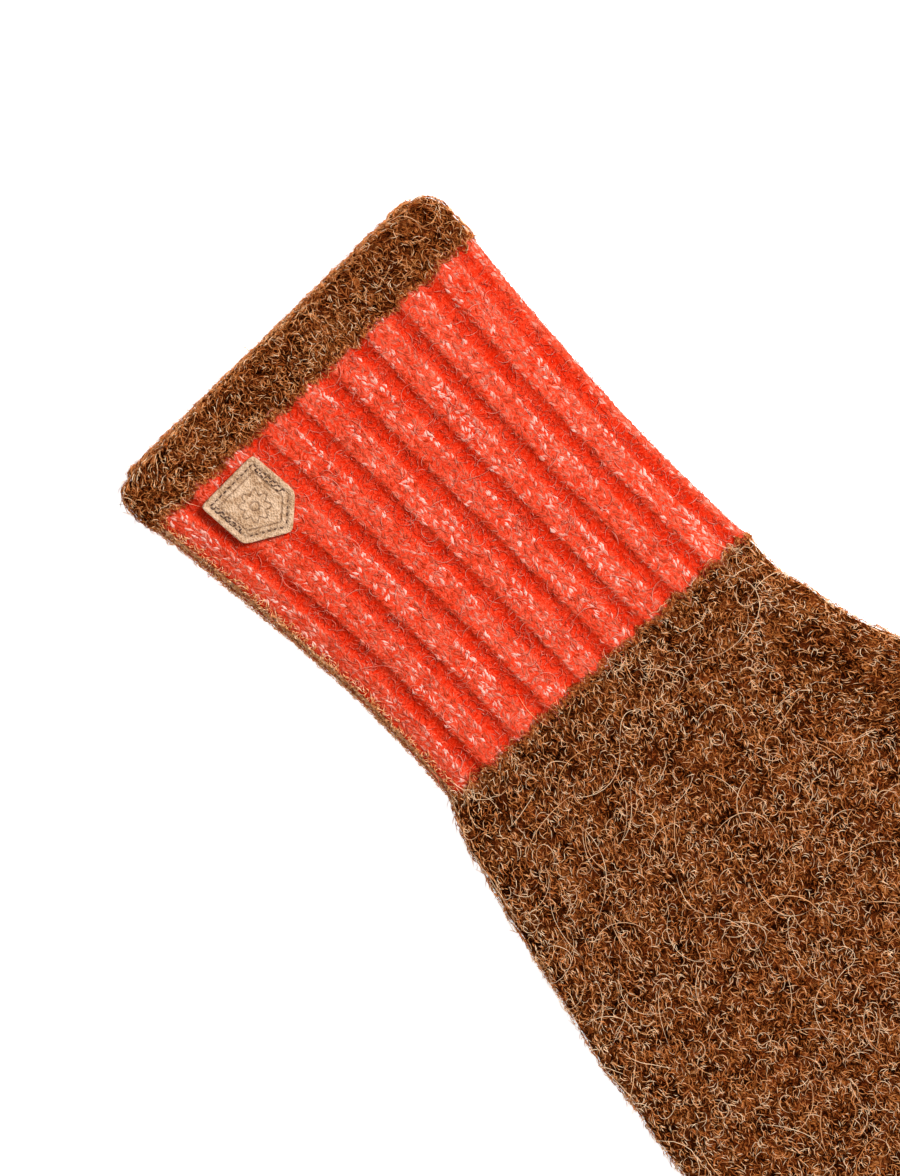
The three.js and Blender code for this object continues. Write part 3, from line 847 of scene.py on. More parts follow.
# %% [markdown]
# ## Loose fibres
# What the eye takes for the brown wool is mostly its nap: short curly mohair fibres that lie every way over
# each other, pale on top with dark gaps between them. A hair system can't be handed on as a part, so each
# fibre is a thin closed tube with three sides, and thousands of them are one joined mesh.
# A fibre walks over the skin from station to station. It turns a little at each, stands up or lies down,
# and never goes through the table.

# %% Laying fibres
TOP_SHARES, UNDER_SHARES = (-0.03, 0.53), (0.53, 0.97)  # shares round, over the top and underneath
OVER_TABLE = 0.02  # mm, the lowest that a fibre lies
LEG_SLANT = 21  # degrees that the leg of a knit stitch leans to its side


def lay_fibres(name, skin, relief, share, part, look, rings, sides_count=3, flat=1.0):
    """Fibres at places on a skin. look has their sizes in mm, turns in radians and tones, one for each fibre.
    curl may also have one for each station. flat is how high a fibre is for its width."""
    shape, faces = ball(sides_count, rings)
    station = np.round(np.arccos(np.clip(shape[:, 2], -1, 1)) / math.pi * rings).astype(int)
    step = look["length"] / rings
    heading, curl = look["heading"], look["curl"]
    girth, reach = skin.scale(part)
    share = share - look["length"] / 2 * np.sin(heading) / girth
    part = part - look["length"] / 2 * np.cos(heading) / reach
    if curl.ndim == 1:  # an even curl starts turned back, so that the fibre's middle has its heading
        heading = heading - curl * look["length"] / 2
        curl = np.repeat(curl[:, None], rings + 1, axis=1)
    middles, sides, outs = [], [], []
    for k in range(rings + 1):
        at, out, around, along = skin.place(share, part)
        above = look["lift"] * (0.3 + 0.7 * math.sin(math.pi * k / rings)) + look["rise"] * (k / rings) ** 1.5
        middles.append(at + out * (relief(at, share % 1.0, part) + above)[:, None])
        sides.append(around * np.cos(heading)[:, None] - along * np.sin(heading)[:, None])
        outs.append(out)
        girth, reach = skin.scale(part)
        share = share + step * np.sin(heading) / girth
        part = part + step * np.cos(heading) / reach
        heading = heading + curl[:, k] * step
    middles, sides, outs = (np.array(v).swapaxes(0, 1)[:, station] for v in (middles, sides, outs))
    radius = look["radius"][:, None, None]
    points = middles + radius * (shape[None, :, 0:1] * sides + flat * shape[None, :, 1:2] * outs)
    points[..., 2] = np.maximum(points[..., 2], OVER_TABLE)
    return joined_copies(name, points, faces, look["tone"])


def scatter(skin, count, under, past=(1.0, 1.0)):
    """Places spread evenly over a skin and a little past its ends, with only some of them on its underside.
    Gives the share round and the mm along."""
    run = np.linspace(-past[0], skin.run[-1] + past[1], 400)
    area = np.cumsum(skin.scale(skin.part_at(run))[0])
    run = np.interp(random.uniform(0, 1, count), area / area[-1], run)
    share = random.uniform(*TOP_SHARES, count)
    below = random.uniform(0, 1, count) < under
    return np.where(below, random.uniform(*UNDER_SHARES, count), share), run


LEG_TONES = np.random.default_rng(23).normal(0, 0.1, (64, 128))


def on_stitches(share, run, wales, spread=0.16):
    """Gathers places on the legs of knit stitches. Gives the side that each leg leans to and its tone."""
    leg = np.floor(share * 2 * wales)
    share = (leg + 0.5 + random.normal(0, spread, len(share))) / (2 * wales)
    run = (np.floor(run / COURSE) + 0.5 + random.normal(0, spread, len(run))) * COURSE
    legs, courses = LEG_TONES.shape
    own = LEG_TONES[leg.astype(int) % legs, (run / COURSE).astype(int) % courses]
    return share, run, np.where(leg % 2 == 0, 1.0, -1.0), own


def nap(count, length, thick, lift, raised, curl=(0.0, 1.0)):
    """The look of short fibres: most lie flat, and a share of them stands up. curl is in radians per mm."""
    side = np.where(random.uniform(0, 1, count) < 0.5, -1.0, 1.0)
    return {
        "length": random.uniform(*length, count),
        "heading": random.uniform(-math.pi, math.pi, count),
        "curl": side * random.uniform(*curl, count),
        "lift": random.uniform(*lift, count),
        "rise": np.where(random.uniform(0, 1, count) < raised, random.uniform(0.4, 1.5, count), 0.0),
        "radius": random.uniform(*thick, count),
        "tone": np.zeros(count),
    }


print("fibre helpers ready")

# %% [markdown]
# The hand's nap comes in four meshes, to keep each one light: two of long fibres, one of short ones, and one
# of a few curled ones on top. Felting has blurred the stitches but not hidden them: most short fibres still
# follow the leg of the stitch that they come from, and dark gaps are left between the legs. The others lie
# every way over them. A fibre's tone says how pale it is. It varies in soft patches. Fibres that stand higher
# are painted paler and those that lie low darker, as painted light and shade, and fibres on the folded edges
# are painted a little darker, as painted shade against the strong light that those edges get.

# %% Nap of the brown wool
SHORT, LONG, CURLED = 2, 3, 5  # rings of each kind of fibre
LOOSE = {SHORT: 0.2, LONG: 0.65, CURLED: 1.0}  # share of each kind that lies any way
KINDS = {  # lengths, radii and lifts from least to most in mm, the share that stands up, curls per mm
    SHORT: dict(length=(0.8, 1.8), thick=(0.065, 0.11), lift=(0.0, 0.35), raised=0.03),
    LONG: dict(length=(1.3, 3.0), thick=(0.06, 0.1), lift=(0.1, 0.55), raised=0.08, curl=(0.2, 1.2)),
    CURLED: dict(length=(2.5, 5.5), thick=(0.06, 0.085), lift=(0.2, 0.6), raised=0.1, curl=(0.3, 1.0)),
}
PALE = 0.63  # the middle tone of the hand's fibres
TONE_SPREAD = 0.24


def brown_look(skin, share, run, wales, kind, pale=PALE, loose=None):
    """The fibres of the brown wool at places, moved to the stitches that they belong to."""
    loose = random.uniform(0, 1, len(share)) < (loose or LOOSE[kind])
    near, level, side, own = on_stitches(share, run, wales)
    share, run = np.where(loose, share, near), np.where(loose, run, level)
    look = nap(len(share), **KINDS[kind])
    slant = math.radians(LEG_SLANT + 6) * side + random.normal(0, 0.22, len(share))
    look["heading"] = np.where(loose, look["heading"], slant)
    part = skin.part_at(run)
    at, out, _, _ = skin.place(share, part)
    patch = 0.05 * bumps(at, 5.0, 41) + 0.04 * bumps(at, 14.0, 42)
    # painted shade: fibres on the folded edges are painted darker, against the light that those edges get
    edge = 0.1 * soft_step(0.35, 0.0, np.abs(out[:, 2])) * (at[:, 2] > 2)
    # painted light and shade: fibres that stand higher are painted paler, low ones darker
    tone = pale + patch - edge + own + 0.6 * (look["lift"] - 0.25)
    look["tone"] = np.clip(tone + random.normal(0, TONE_SPREAD, len(share)), 0, 1)
    return share, part, look


def brown_nap(name, skin, relief, count, under, past, kind, pale=PALE, loose=None):
    """Nap on a skin. under is the share that lies underneath, past the mm by which it passes each end."""
    share, run = scatter(skin, count, under, past)
    return lay_fibres(name, skin, relief, *brown_look(skin, share, run, HAND_WALES, kind, pale, loose), kind)


HAND = (hand_skin, hand_relief)
hand_nap = [brown_nap(f"hand_nap_{i + 1}", *HAND, 10900, 0.14, (0.9, 0), LONG) for i in range(2)]
hand_fluff = brown_nap("hand_fluff", *HAND, 24000, 0.14, (0.5, 0), SHORT)
hand_curls = brown_nap("hand_curls", *HAND, 1700, 0.14, (0.5, 0), CURLED, 0.7)
BAND = (band_skin, band_relief)
band_nap = brown_nap("band_nap", *BAND, 2800, 0.2, (0.0, 0.8), LONG, 0.5, 0.8)
band_fluff = brown_nap("band_fluff", *BAND, 4200, 0.2, (0.0, 0.6), SHORT, 0.42, 0.8)
brown_naps = [*hand_nap, hand_fluff, hand_curls, band_nap, band_fluff]
print("nap triangles:", [count_triangles(piece) for piece in brown_naps])

# %% [markdown]
# The rim of the band is a roll of loose wool. Its fibres are laid on a skin of their own, which turns from
# the outside over the rim to the inside, and most of them lie round the opening.

# %% Nap of the rim
LOW = 0.6  # how far raised fibres stand up on rims and folds, against those on the hand


def make_rim_nap(count):
    share, run = scatter(rim_skin, count, 0.3, (0, 0))
    look = nap(count, (1.0, 2.2), (0.06, 0.1), (0.0, 0.4), 0.12)
    look["heading"] = random.normal(0, 0.9, count) + math.pi / 2
    look["rise"] *= LOW
    look["tone"] = np.clip(random.normal(0.6, 0.14, count), 0, 1)
    return lay_fibres("rim_nap", rim_skin, rim_relief, share, rim_skin.part_at(run), look, SHORT)


rim_nap = make_rim_nap(4400)
print("rim nap triangles:", count_triangles(rim_nap))

# %% [markdown]
# Where brown meets red, the last row of brown stitches reaches over the red by a different amount at each
# rib, so both seams are ragged lines of fibres that lie across them.

# %% Fibres across the seams
CUFF = (cuff_skin, cuff_relief)
GIRTH = 200  # mm, roughly the way round the cuff


def make_seam_nap(name, at_wrist, count):
    below = random.uniform(0, 1, count) < 0.2
    share = np.where(below, random.uniform(*UNDER_SHARES, count), random.uniform(*TOP_SHARES, count))
    line = np.stack([share * GIRTH, share * 0, share * 0], axis=-1)
    reach = 0.5 + 0.8 * (1 - rib_rise(share)) + 0.5 * bumps(line, 2.0, 61)
    inward = random.uniform(-0.8, 1.0, count) * reach
    run = cuff_skin.run[-1] - inward if at_wrist else inward
    look = nap(count, (1.2, 2.6), (0.07, 0.12), (0.3, 0.8), 0.05)
    look["tone"] = np.clip(random.normal(0.4, 0.2, count), 0, 1)
    return lay_fibres(name, *CUFF, share, cuff_skin.part_at(run), look, SHORT)


seam_nap = [make_seam_nap("wrist_seam_nap", True, 2000), make_seam_nap("band_seam_nap", False, 2000)]
print("seam nap triangles:", [count_triangles(piece) for piece in seam_nap])

# %% [markdown]
# The thumb's tube starts inside the hand, so only fibres beyond the place where it leaves the hand are kept:
# those on the gusset's bulge outside the pouch, and those on the thumb.

# %% Nap of the thumb
HALF_UP = 6  # mm over the table, above which the thumb shows from above


def outside_hand(at):
    """Whether places on the thumb's run lie outside the pouch: beside it, or higher than its back."""
    middle_line = hand_skin.points[:, SKIN_COLUMNS // 4, 1]
    row = np.interp(at[:, 1], middle_line, np.arange(SKIN_ROWS + 1)).astype(int)
    back = hand_skin.points[row, : SKIN_COLUMNS // 2 + 1]
    top = np.array([np.interp(x, line[:, 0], line[:, 2], left=-1.0) for x, line in zip(at[:, 0], back)])
    return (top < 0) | ((at[:, 2] > top - 0.3) & (at[:, 2] > HALF_UP))


def make_thumb_nap(name, count, kind):
    share, run = scatter(thumb_skin, count, 0.2, (0, 0))
    keep = outside_hand(thumb_skin.place(share, thumb_skin.part_at(run))[0])
    look = brown_look(thumb_skin, share[keep], run[keep], THUMB_WALES, kind)
    return lay_fibres(name, thumb_skin, thumb_relief, *look, kind)


thumb_nap = make_thumb_nap("thumb_nap", 4300, LONG)
thumb_fluff = make_thumb_nap("thumb_fluff", 4800, SHORT)
print("thumb nap triangles:", count_triangles(thumb_nap), count_triangles(thumb_fluff))

# %% [markdown]
# ## Stitches on the ribs
# A knit stitch shows as a V of two plump yarn legs, and here every V points towards the hand. A ridge of the
# rib has two columns of them, so four legs side by side. Each leg is three plies of the yarn, laid like the
# nap's fibres but thicker, a little flat and half sunk into the ridge. A ply takes its tone from its leg and
# a little from chance. Where the pale ply of the yarn comes up, it makes streaks of flecks along the ridge.

# %% Yarn of the ribs
LEG_PLACES = [(-2.1, 1), (-0.7, -1), (0.7, 1), (2.1, -1)]  # mm from the ridge's middle, side it leans to
RIB_WIDTH = 8.9  # mm
PLIES = 3
PLY_PITCH = 0.26  # mm from one ply to the next
PLY_SIDES, PLY_FLAT = 4, 0.7


def make_stitches():
    courses = int(cuff_skin.run[-1] / COURSE)
    grid = np.meshgrid(*(np.arange(n) for n in (RIB_COUNT, len(LEG_PLACES), courses, PLIES)))
    rib, leg, course, ply = (v.ravel() for v in grid)
    count = len(rib)
    places, leans = np.array(LEG_PLACES).T
    across = places[leg] + (ply - 1) * PLY_PITCH + random.normal(0, 0.15, count)
    run = (course + 0.5 + random.normal(0, 0.2, count)) / courses * cuff_skin.run[-1]
    look = nap(count, (1.0, 1.9), (0.24, 0.36), (-0.1, 0.04), 0.0)
    look["heading"] = np.radians(LEG_SLANT) * leans[leg] + random.normal(0, 0.2, count)
    look["curl"] = random.normal(0, 0.35, count)
    streak = bumps(np.stack([rib * 37.0 + leg * 11.0, course * 1.0, rib * 0.0], axis=-1), 7.0, 5)
    own = np.random.default_rng(17).normal(0, 0.16, (RIB_COUNT, len(LEG_PLACES), courses))[rib, leg, course]
    # painted shade: plies away from the thumb's edge, on the ridge's side away from the key light, are
    # painted a little darker
    tone = 0.44 + 0.2 * streak + own - 0.04 * across + random.normal(0, 0.12, count)
    look["tone"] = np.clip(tone, 0, 1)
    share = (rib + RIB_START + across / RIB_WIDTH) / RIB_COUNT
    kept = near_fold(share) < 0.3
    look = {key: value[kept] for key, value in look.items()}
    place = (share[kept], cuff_skin.part_at(run[kept]))
    piece = lay_fibres("cuff_stitches", *CUFF, *place, look, SHORT, PLY_SIDES, PLY_FLAT)
    piece.data.shade_flat()  # smooth shading would turn the plies' thin sides dark
    return piece


stitches = make_stitches()
print("stitch triangles:", count_triangles(stitches))

# %% [markdown]
# The red nap is finer and close to the wool's own red. It curls in the valleys, where it fills the place of
# the sunk stitches, and some of it crosses the ridges and blurs the stitches together.

# %% Nap of the red wool
def make_cuff_nap(name, count, length, rings):
    share, run = scatter(cuff_skin, count, 0.12)
    valley = random.uniform(0, 1, count) < 0.7
    rib = np.floor(share * RIB_COUNT - RIB_START)
    sunk = (rib + RIB_START + 0.5 + random.normal(0, 0.14, count)) / RIB_COUNT
    share = np.where(valley, sunk, share)
    look = nap(count, length, (0.06, 0.1), (0.0, 0.45), 0.05, (0.2, 1.0))
    # painted light and shade: fibres on the ridges and fibres that stand higher are painted paler than those
    # in the valleys and low in the nap
    tone = 0.46 + 0.2 * rib_rise(share) + 0.4 * (look["lift"] - 0.22)
    look["tone"] = np.clip(tone + random.normal(0, TONE_SPREAD, count), 0, 1)
    kept = near_fold(share) < 0.5
    look = {key: value[kept] for key, value in look.items()}
    return lay_fibres(name, *CUFF, share[kept], cuff_skin.part_at(run[kept]), look, rings)


cuff_nap = make_cuff_nap("cuff_nap", 2000, (2.0, 4.6), CURLED)
cuff_fluff = make_cuff_nap("cuff_fluff", 6400, (1.0, 2.0), SHORT)
print("cuff nap triangles:", count_triangles(cuff_nap), count_triangles(cuff_fluff))

# %% [markdown]
# Along the fold on the little finger's side, brown fibres are laid over the red as painted shade, for the
# shade on the cuff's side where it turns under.

# %% Fluff on the cuff's fold
FOLD_SHARES = (0.468, 0.545)  # shares round that the fluff covers


# painted shade: brown fibres on the fold stand for the shade on the cuff's side
def make_fold_shade_nap(count):
    run = random.uniform(0, cuff_skin.run[-1], count)
    share = random.uniform(*FOLD_SHARES, count)
    look = nap(count, (1.2, 2.6), (0.07, 0.12), (0.1, 0.6), 0.1)
    look["rise"] *= LOW
    look["tone"] = np.clip(random.normal(0.76, 0.14, count), 0, 1)
    return lay_fibres("cuff_fold_shade_nap", *CUFF, share, cuff_skin.part_at(run), look, SHORT)


fold_shade_nap = make_fold_shade_nap(3600)
print("fold nap triangles:", count_triangles(fold_shade_nap))

# %% [markdown]
# A few long mohair hairs wander over the nap in loops, and some cross from one colour to the other.

# %% Long hairs
HAIR_RINGS = 12


def long_hairs(name, skin, relief, count, pale, length, bend):
    """Long hairs. bend is the usual turn of one in radians per mm."""
    share, run = scatter(skin, count, 0.1)
    step = np.arange(HAIR_RINGS + 1)[None, :]
    side = np.where(random.uniform(0, 1, (count, 1)) < 0.5, -1.0, 1.0)
    swing = np.sin(step * 0.5 + random.uniform(0, 2 * math.pi, (count, 1)))
    look = nap(count, length, (0.055, 0.085), (0.4, 0.9), 0.2)
    look["curl"] = side * bend * random.uniform(0.4, 1.4, (count, 1)) + 0.4 * bend * swing
    look["tone"] = np.clip(random.normal(pale, 0.12, count), 0, 1)
    return lay_fibres(name, skin, relief, share, skin.part_at(run), look, HAIR_RINGS)


hand_hairs = long_hairs("hand_hairs", *HAND, 200, 0.92, (10.0, 24.0), 0.12)
hand_loops = long_hairs("hand_loops", *HAND, 240, 0.92, (6.0, 11.0), 0.5)
band_loops = long_hairs("band_loops", *BAND, 36, 0.85, (5.0, 9.0), 0.4)
cuff_hairs = long_hairs("cuff_hairs", *CUFF, 110, 0.75, (6.0, 14.0), 0.35)
hairs = [hand_hairs, hand_loops, band_loops, cuff_hairs]
print("hair triangles:", [count_triangles(piece) for piece in hairs])

# %% [markdown]
# ## Helpers for materials
# Every material is a network of nodes. One function adds a node, sets it and joins it up. Another one
# turns the usual hex colours into the linear values that Blender works with.

# %% Node helper
COLOUR_A, COLOUR_B, MIXED = 6, 7, 2  # the colour sockets of a mix node and its colour output


def linear(hex_colour):
    """An sRGB hex colour as a linear RGBA value."""
    channels = [int(hex_colour[i : i + 2], 16) / 255 for i in (1, 3, 5)]
    return [c / 12.92 if c <= 0.04045 else ((c + 0.055) / 1.055) ** 2.4 for c in channels] + [1.0]


def add_node(tree, kind, output=None, inputs=None, stops=None, **settings):
    """Adds a node and gives one of its outputs. inputs gives sockets a value or a link, and stops gives a
    colour ramp its colours."""
    node = tree.nodes.new("ShaderNode" + kind)
    for setting, value in settings.items():
        setattr(node, setting, value)
    for socket, value in (inputs or {}).items():
        if isinstance(value, bpy.types.NodeSocket):
            tree.links.new(value, node.inputs[socket])
        else:
            node.inputs[socket].default_value = value
    if stops:
        elements = node.color_ramp.elements
        while len(elements) < len(stops):
            elements.new(0.5)
        for element, (place, hex_colour) in zip(elements, stops):
            element.position = place
            element.color = linear(hex_colour)
    return None if output is None else node.outputs[output]


def new_material(name):
    """A material with an empty network, and the place on the piece that its patterns read."""
    material = bpy.data.materials.new(name)
    material.use_nodes = True
    tree = material.node_tree
    tree.nodes.clear()
    return material, tree, add_node(tree, "TexCoord", "Object")


def finish_material(tree, colour, roughness, normal=None, **constants):
    """Ends a network in a Principled surface."""
    inputs = {"Base Color": colour, "Roughness": roughness}
    inputs.update({key.replace("_", " "): value for key, value in constants.items()})
    if normal:
        inputs["Normal"] = normal
    surface = add_node(tree, "BsdfPrincipled", "BSDF", inputs)
    add_node(tree, "OutputMaterial", inputs={"Surface": surface})


print("material helpers ready")

# %% [markdown]
# ## Strokes of fibre
# Under the loose nap both wools show a tangle of finer fibres. It is drawn by four noises, each stretched
# along a direction of its own to strokes 0.25 mm wide and 1.4 mm long. A soft noise bends them all first, so
# that the strokes curl, and the highest of the four shows, as the top fibre of a tangle does.

# %% Fibre strokes
STROKE = (0.00025, 0.0014, 0.00025)  # m, size of a stroke across, along and across
STROKE_TURNS = (0.2, 1.0, 1.8, 2.6)  # radians
BEND = 0.0016  # m by which the strokes are bent
BEND_SCALE = 380.0  # waves per metre, one bend every 2.6 mm


def fibre_strokes(tree, place):
    soft = add_node(tree, "TexNoise", "Color", {"Vector": place, "Scale": BEND_SCALE, "Detail": 1.0})
    shift = add_node(tree, "VectorMath", 0, {0: soft, 1: (0.5, 0.5, 0.5)}, operation="SUBTRACT")
    far = add_node(tree, "VectorMath", 0, {0: shift, "Scale": 2 * BEND}, operation="SCALE")
    bent = add_node(tree, "VectorMath", 0, {0: place, 1: far}, operation="ADD")
    top = None
    for turn in STROKE_TURNS:
        turned = {"Vector": bent, "Rotation": (0.0, 0.0, turn), "Scale": STROKE}
        laid = add_node(tree, "Mapping", 0, turned, vector_type="TEXTURE")
        stroke = add_node(tree, "TexNoise", "Fac", {"Vector": laid, "Scale": 1.0, "Detail": 1.0})
        top = add_node(tree, "Math", 0, {0: top, 1: stroke}, operation="MAXIMUM") if top else stroke
    return top


# %% [markdown]
# ## Fulled brown wool
# The felted knit under the nap is brown. The near-black between its strokes is painted shade, for the shade
# that falls into the gaps under the nap. Larger noise gives the darker and the rustier places in the fleece.

# %% Brown wool
BROWN_PATCHES = 190.0  # waves per metre, patches about 5 mm across
RUST_PATCHES = 420.0  # waves per metre, patches about 2.4 mm across
# painted shade: the near-black low stops colour the gaps between the strokes; the higher stops are the wool's
# brown
BROWN_AND_GAP_SHADE_STOPS = [(0.69, "#0c0200"), (0.76, "#341004"), (0.83, "#783c14"), (0.92, "#b0703c")]


def with_rust(tree, place, colour, rust):
    """Lets patches of a rustier brown run through a colour."""
    patch = add_node(tree, "TexNoise", "Fac", {"Vector": place, "Scale": RUST_PATCHES, "Detail": 1.0})
    amount = add_node(tree, "MapRange", 0, {0: patch, 1: 0.5, 2: 0.7, 3: 0.0, 4: 0.25})
    colours = {0: amount, COLOUR_A: colour, COLOUR_B: linear(rust)}
    return add_node(tree, "Mix", MIXED, colours, data_type="RGBA")


def make_brown_wool():
    material, tree, place = new_material("fulled brown wool and mohair knit")
    strokes = fibre_strokes(tree, place)
    patch = add_node(tree, "TexNoise", "Fac", {"Vector": place, "Scale": BROWN_PATCHES, "Detail": 2.0})
    level = add_node(tree, "Math", 0, {0: patch, 1: 0.3, 2: strokes}, operation="MULTIPLY_ADD")
    brown = add_node(tree, "ValToRGB", "Color", {"Fac": level}, BROWN_AND_GAP_SHADE_STOPS)
    bump = add_node(tree, "Bump", 0, {"Height": strokes, "Distance": 0.0005, "Strength": 0.9})
    finish_material(tree, with_rust(tree, place, brown, "#7a3414"), 0.95, bump, Specular_IOR_Level=0.0)
    return material


brown_wool = make_brown_wool()
print(brown_wool.name)

# %% [markdown]
# A loose fibre has one colour from end to end. Its tone picks that colour from a ramp that goes from dark
# fleece to bleached mohair, and patches of rust run through them as through the base.

# %% Fibre colours
BROWN_FIBRES = [(0.0, "#3c0e00"), (0.25, "#8c3c10"), (0.5, "#cc763a"), (0.75, "#f0ac70"), (1.0, "#ffdcb4")]


def make_brown_fibres():
    material, tree, place = new_material("brown mohair fibres")
    tone = add_node(tree, "Attribute", "Fac", attribute_name="tone")
    colour = add_node(tree, "ValToRGB", "Color", {"Fac": tone}, BROWN_FIBRES)
    finish_material(tree, with_rust(tree, place, colour, "#9c4c20"), 0.9, Specular_IOR_Level=0.02)
    return material


brown_fibres = make_brown_fibres()
print(brown_fibres.name)

# %% [markdown]
# ## Coral wool
# The red yarn is evenly dyed and saturated. Light sinks into the valleys between the ribs, which look deeper
# and redder than the ridges. On the stitches a paler pink ply shows in streaks.

# %% Coral wool
CORAL_PATCHES = 160.0  # waves per metre, patches about 6 mm across
CORAL_STOPS = [(0.65, "#bc1c04"), (0.74, "#d03418"), (0.83, "#d4462c"), (0.94, "#dc6a52")]
# painted shade: the brown that the cuff's fold is painted with, for the shade on its side
FOLD_SHADE_BROWN = "#8a5c3c"


def make_coral_wool():
    material, tree, place = new_material("fulled coral wool rib knit")
    rise = add_node(tree, "Attribute", "Fac", attribute_name="tone")
    strokes = fibre_strokes(tree, place)
    patch = add_node(tree, "TexNoise", "Fac", {"Vector": place, "Scale": CORAL_PATCHES, "Detail": 2.0})
    level = add_node(tree, "Math", 0, {0: patch, 1: 0.2, 2: strokes}, operation="MULTIPLY_ADD")
    # painted light and shade: the ridges are painted a little lighter than the valleys
    lifted = add_node(tree, "Math", 0, {0: rise, 1: 0.1, 2: level}, operation="MULTIPLY_ADD")
    red = add_node(tree, "ValToRGB", "Color", {"Fac": lifted}, CORAL_STOPS)
    # painted shade: the fold is mixed towards the shade brown
    fold = add_node(tree, "MapRange", 0, {0: rise, 1: -0.6, 2: -1.5, 3: 0.0, 4: 0.85})
    colours = {0: fold, COLOUR_A: red, COLOUR_B: linear(FOLD_SHADE_BROWN)}
    mixed = add_node(tree, "Mix", MIXED, colours, data_type="RGBA")
    bump = add_node(tree, "Bump", 0, {"Height": strokes, "Distance": 0.0004, "Strength": 0.8})
    finish_material(tree, mixed, 0.95, bump, Specular_IOR_Level=0.0)
    return material


def make_coral_yarn(name, stops, fibre_scale):
    """Red yarn or fibres. fibre_scale is in waves per metre."""
    material, tree, place = new_material(name)
    tone = add_node(tree, "Attribute", "Fac", attribute_name="tone")
    fine = add_node(tree, "TexNoise", "Fac", {"Vector": place, "Scale": fibre_scale, "Detail": 3.0})
    level = add_node(tree, "Math", 0, {0: fine, 1: 0.3, 2: tone}, operation="MULTIPLY_ADD")
    red = add_node(tree, "ValToRGB", "Color", {"Fac": level}, stops)
    bump = add_node(tree, "Bump", 0, {"Height": fine, "Distance": 0.0003, "Strength": 0.8})
    finish_material(tree, red, 0.9, bump, Specular_IOR_Level=0.02)
    return material


YARN_REDS = [(0.15, "#ac2c12"), (0.45, "#b8422a"), (0.62, "#c45e48"), (0.8, "#d27e6c"), (1.0, "#e8aea0")]
NAP_REDS = [(0.1, "#cc260c"), (0.5, "#d4462c"), (0.85, "#da6a52"), (1.0, "#e08e7a")]
coral_wool = make_coral_wool()
coral_yarn = make_coral_yarn("coral wool yarn", YARN_REDS, 700.0)
coral_fibres = make_coral_yarn("coral wool fibres", NAP_REDS, 300.0)
print(coral_wool.name, coral_yarn.name, coral_fibres.name)

# %% [markdown]
# ## Tanned leather and waxed thread
# Vegetable-tanned leather is matt and even, with small cells of grain about 0.4 mm wide and soft stains.
# The thread is linen under dark wax, so it has a soft gloss.

# %% Leather and thread
GRAIN_CELLS = 2600.0  # per metre, cells 0.4 mm wide
STAINS = 500.0  # waves per metre, stains about 2 mm across
THREAD_TWIST = 2500.0  # waves per metre, 0.4 mm each
TAN_STOPS = [(0.4, "#8a6240"), (0.6, "#b48c68"), (0.8, "#d0ac8c")]
# painted shade in the furrow under the stitches, and the press's own darkening in the pressed lines
PRESSED_TAN_AND_SHADE = "#54300f"  # the heat of the press darkens the leather
THREAD_STOPS = [(0.3, "#341806"), (0.7, "#563218")]


def make_leather():
    material, tree, place = new_material("vegetable-tanned tan leather")
    cells = add_node(tree, "TexVoronoi", "Distance", {"Vector": place, "Scale": GRAIN_CELLS})
    stain = add_node(tree, "TexNoise", "Fac", {"Vector": place, "Scale": STAINS, "Detail": 4.0})
    level = add_node(tree, "Math", 0, {0: cells, 1: 0.4, 2: stain}, operation="MULTIPLY_ADD")
    tan = add_node(tree, "ValToRGB", "Color", {"Fac": level}, TAN_STOPS)
    deep = add_node(tree, "Attribute", "Fac", attribute_name="tone")
    # the tone darkens the pressed lines, as the press does, and the furrow under the stitches, as painted
    # shade
    amount = add_node(tree, "Math", 0, {0: deep, 1: 0.7}, operation="MULTIPLY")
    colours = {0: amount, COLOUR_A: tan, COLOUR_B: linear(PRESSED_TAN_AND_SHADE)}
    tan_pressed_and_shaded = add_node(tree, "Mix", MIXED, colours, data_type="RGBA")
    bump = add_node(tree, "Bump", 0, {"Height": cells, "Distance": 0.0003, "Strength": 0.9})
    finish_material(tree, tan_pressed_and_shaded, 0.62, bump, Specular_IOR_Level=0.35)
    return material


def make_waxed_thread():
    material, tree, place = new_material("dark waxed linen thread")
    twist = add_node(tree, "TexNoise", "Fac", {"Vector": place, "Scale": THREAD_TWIST})
    finish_material(tree, add_node(tree, "ValToRGB", "Color", {"Fac": twist}, THREAD_STOPS), 0.5)
    return material


tan_leather = make_leather()
waxed_thread = make_waxed_thread()
print(tan_leather.name, waxed_thread.name)

# %% [markdown]
# ## Finishes on the pieces
# Each piece gets its material and rides on the part's one body.
# The base of each soft piece stands for the plain CAD solid of the same name.

# %% Finishes
FINISHES = [
    # pieces, material, slot, CAD node that they stand for
    ([cuff], coral_wool, "coral_wool", "ribbed_cuff"),
    ([stitches], coral_yarn, "coral_wool", None),
    ([cuff_nap, cuff_fluff, cuff_hairs], coral_fibres, "coral_wool", None),
    ([band], brown_wool, "brown_wool", "edge_band"),
    ([hand], brown_wool, "brown_wool", "hand"),
    ([thumb], brown_wool, "brown_wool", "thumb"),
    ([*brown_naps, thumb_nap, thumb_fluff], brown_fibres, "brown_wool", None),
    ([hand_hairs, hand_loops, band_loops, rim_nap, *seam_nap, fold_shade_nap], brown_fibres, "brown_wool", None),
    ([tag], tan_leather, "tan_leather", "leather_tag"),
    ([thread], waxed_thread, "tan_leather", None),
]
for pieces, material, slot, node in FINISHES:
    for piece in pieces:
        piece.data.materials.clear()
        piece.data.materials.append(material)
        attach(piece, "root")
        if node:
            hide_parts(node)
print("pieces:", sum(len(row[0]) for row in FINISHES))

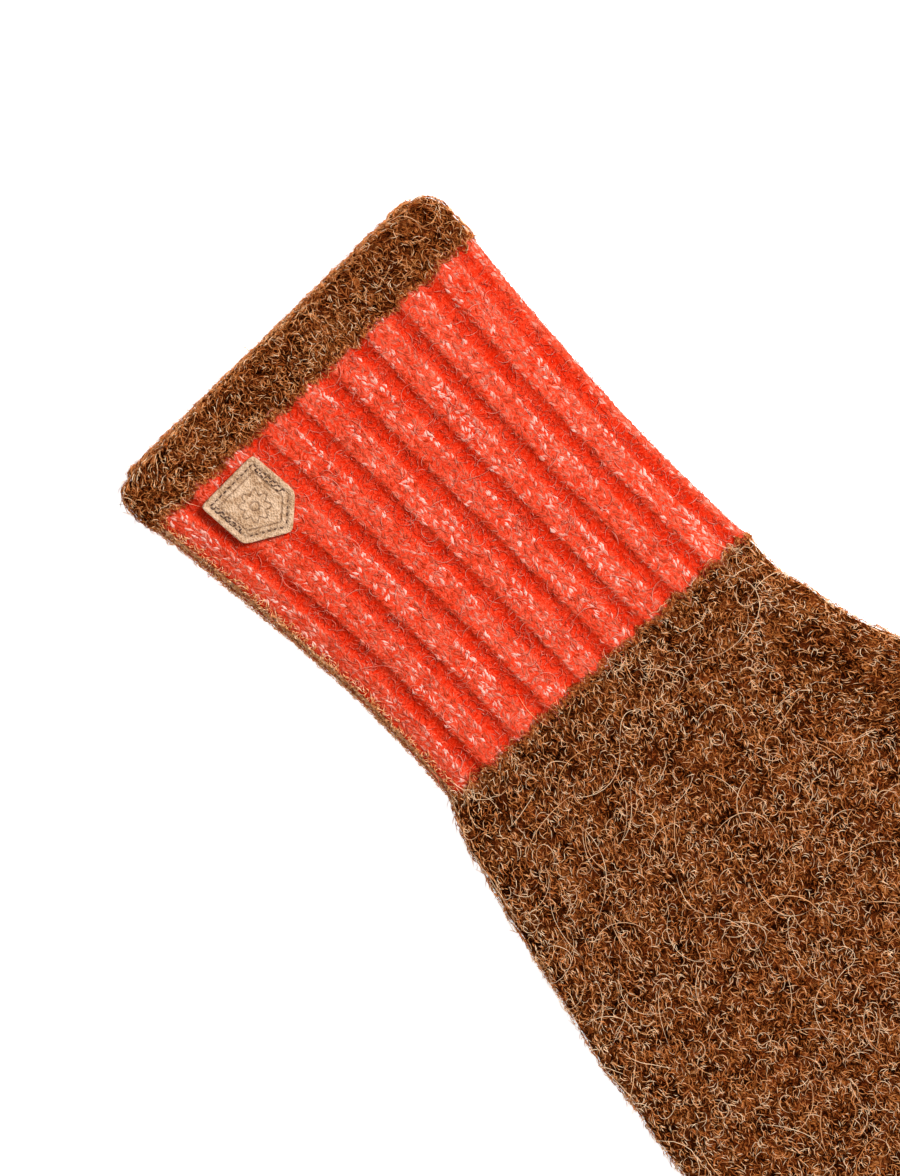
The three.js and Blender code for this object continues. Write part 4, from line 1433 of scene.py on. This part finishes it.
# %% [markdown]
# ## Table, light and world
# The mitten lies on a white light table, which glows so that hardly a shadow shows on it and the loose hair
# at the outline is pale. One soft light stands on the thumb's side, a weaker one opposite it, and a pale
# world fills the rest, as in a light tent.

# %% Table and light
WHITE = (1.0, 1.0, 1.0, 1.0)
GLOW = 0.75  # how strongly the table shines
TENT = 0.33  # how strongly the tent shines
PAPER_FIBRE = 400.0  # waves per metre, 2.5 mm each


def make_table():
    bm = bmesh.new()
    bmesh.ops.create_grid(bm, x_segments=1, y_segments=1, size=2.0)
    mesh = bpy.data.meshes.new("table")
    bm.to_mesh(mesh)
    bm.free()
    table = add_object("table", mesh)
    material, tree, place = new_material("matt white paper")
    fine = add_node(tree, "TexNoise", "Fac", {"Vector": place, "Scale": PAPER_FIBRE})
    white = add_node(tree, "ValToRGB", "Color", {"Fac": fine}, [(0.0, "#f4f4f4"), (1.0, "#fafafa")])
    finish_material(tree, white, 0.9, Emission_Color=WHITE, Emission_Strength=GLOW)
    mesh.materials.append(material)


def make_light(name, side, height, size, watts, turn):
    """A soft light at a distance to one side, aimed at the mitten's middle. Sizes are in metres, and turn is
    in degrees from +X."""
    data = bpy.data.lights.new(name, "AREA")
    data.shape = "DISK"
    data.size = size
    data.energy = watts
    light = add_object(name, data)
    angle = math.radians(turn)
    light.location = (side * math.cos(angle), side * math.sin(angle), height)
    light.rotation_euler = (math.atan2(side, height), 0.0, angle + math.pi / 2)


make_table()
make_light("key", 0.7, 1.0, 0.35, 22.0, 180.0)
make_light("fill", 0.8, 0.9, 1.0, 2.0, 20.0)
world = bpy.data.worlds.new("light tent")
bpy.context.scene.world = world
world.use_nodes = True
world.node_tree.nodes["Background"].inputs["Color"].default_value = WHITE
world.node_tree.nodes["Background"].inputs["Strength"].default_value = TENT
bpy.context.scene.view_settings.view_transform = "Standard"
print("lights ready")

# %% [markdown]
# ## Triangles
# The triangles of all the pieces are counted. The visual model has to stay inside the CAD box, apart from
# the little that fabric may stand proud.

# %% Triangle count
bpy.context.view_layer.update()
total = sum(count_triangles(piece) for row in FINISHES for piece in row[0])
print("triangles in all:", total)
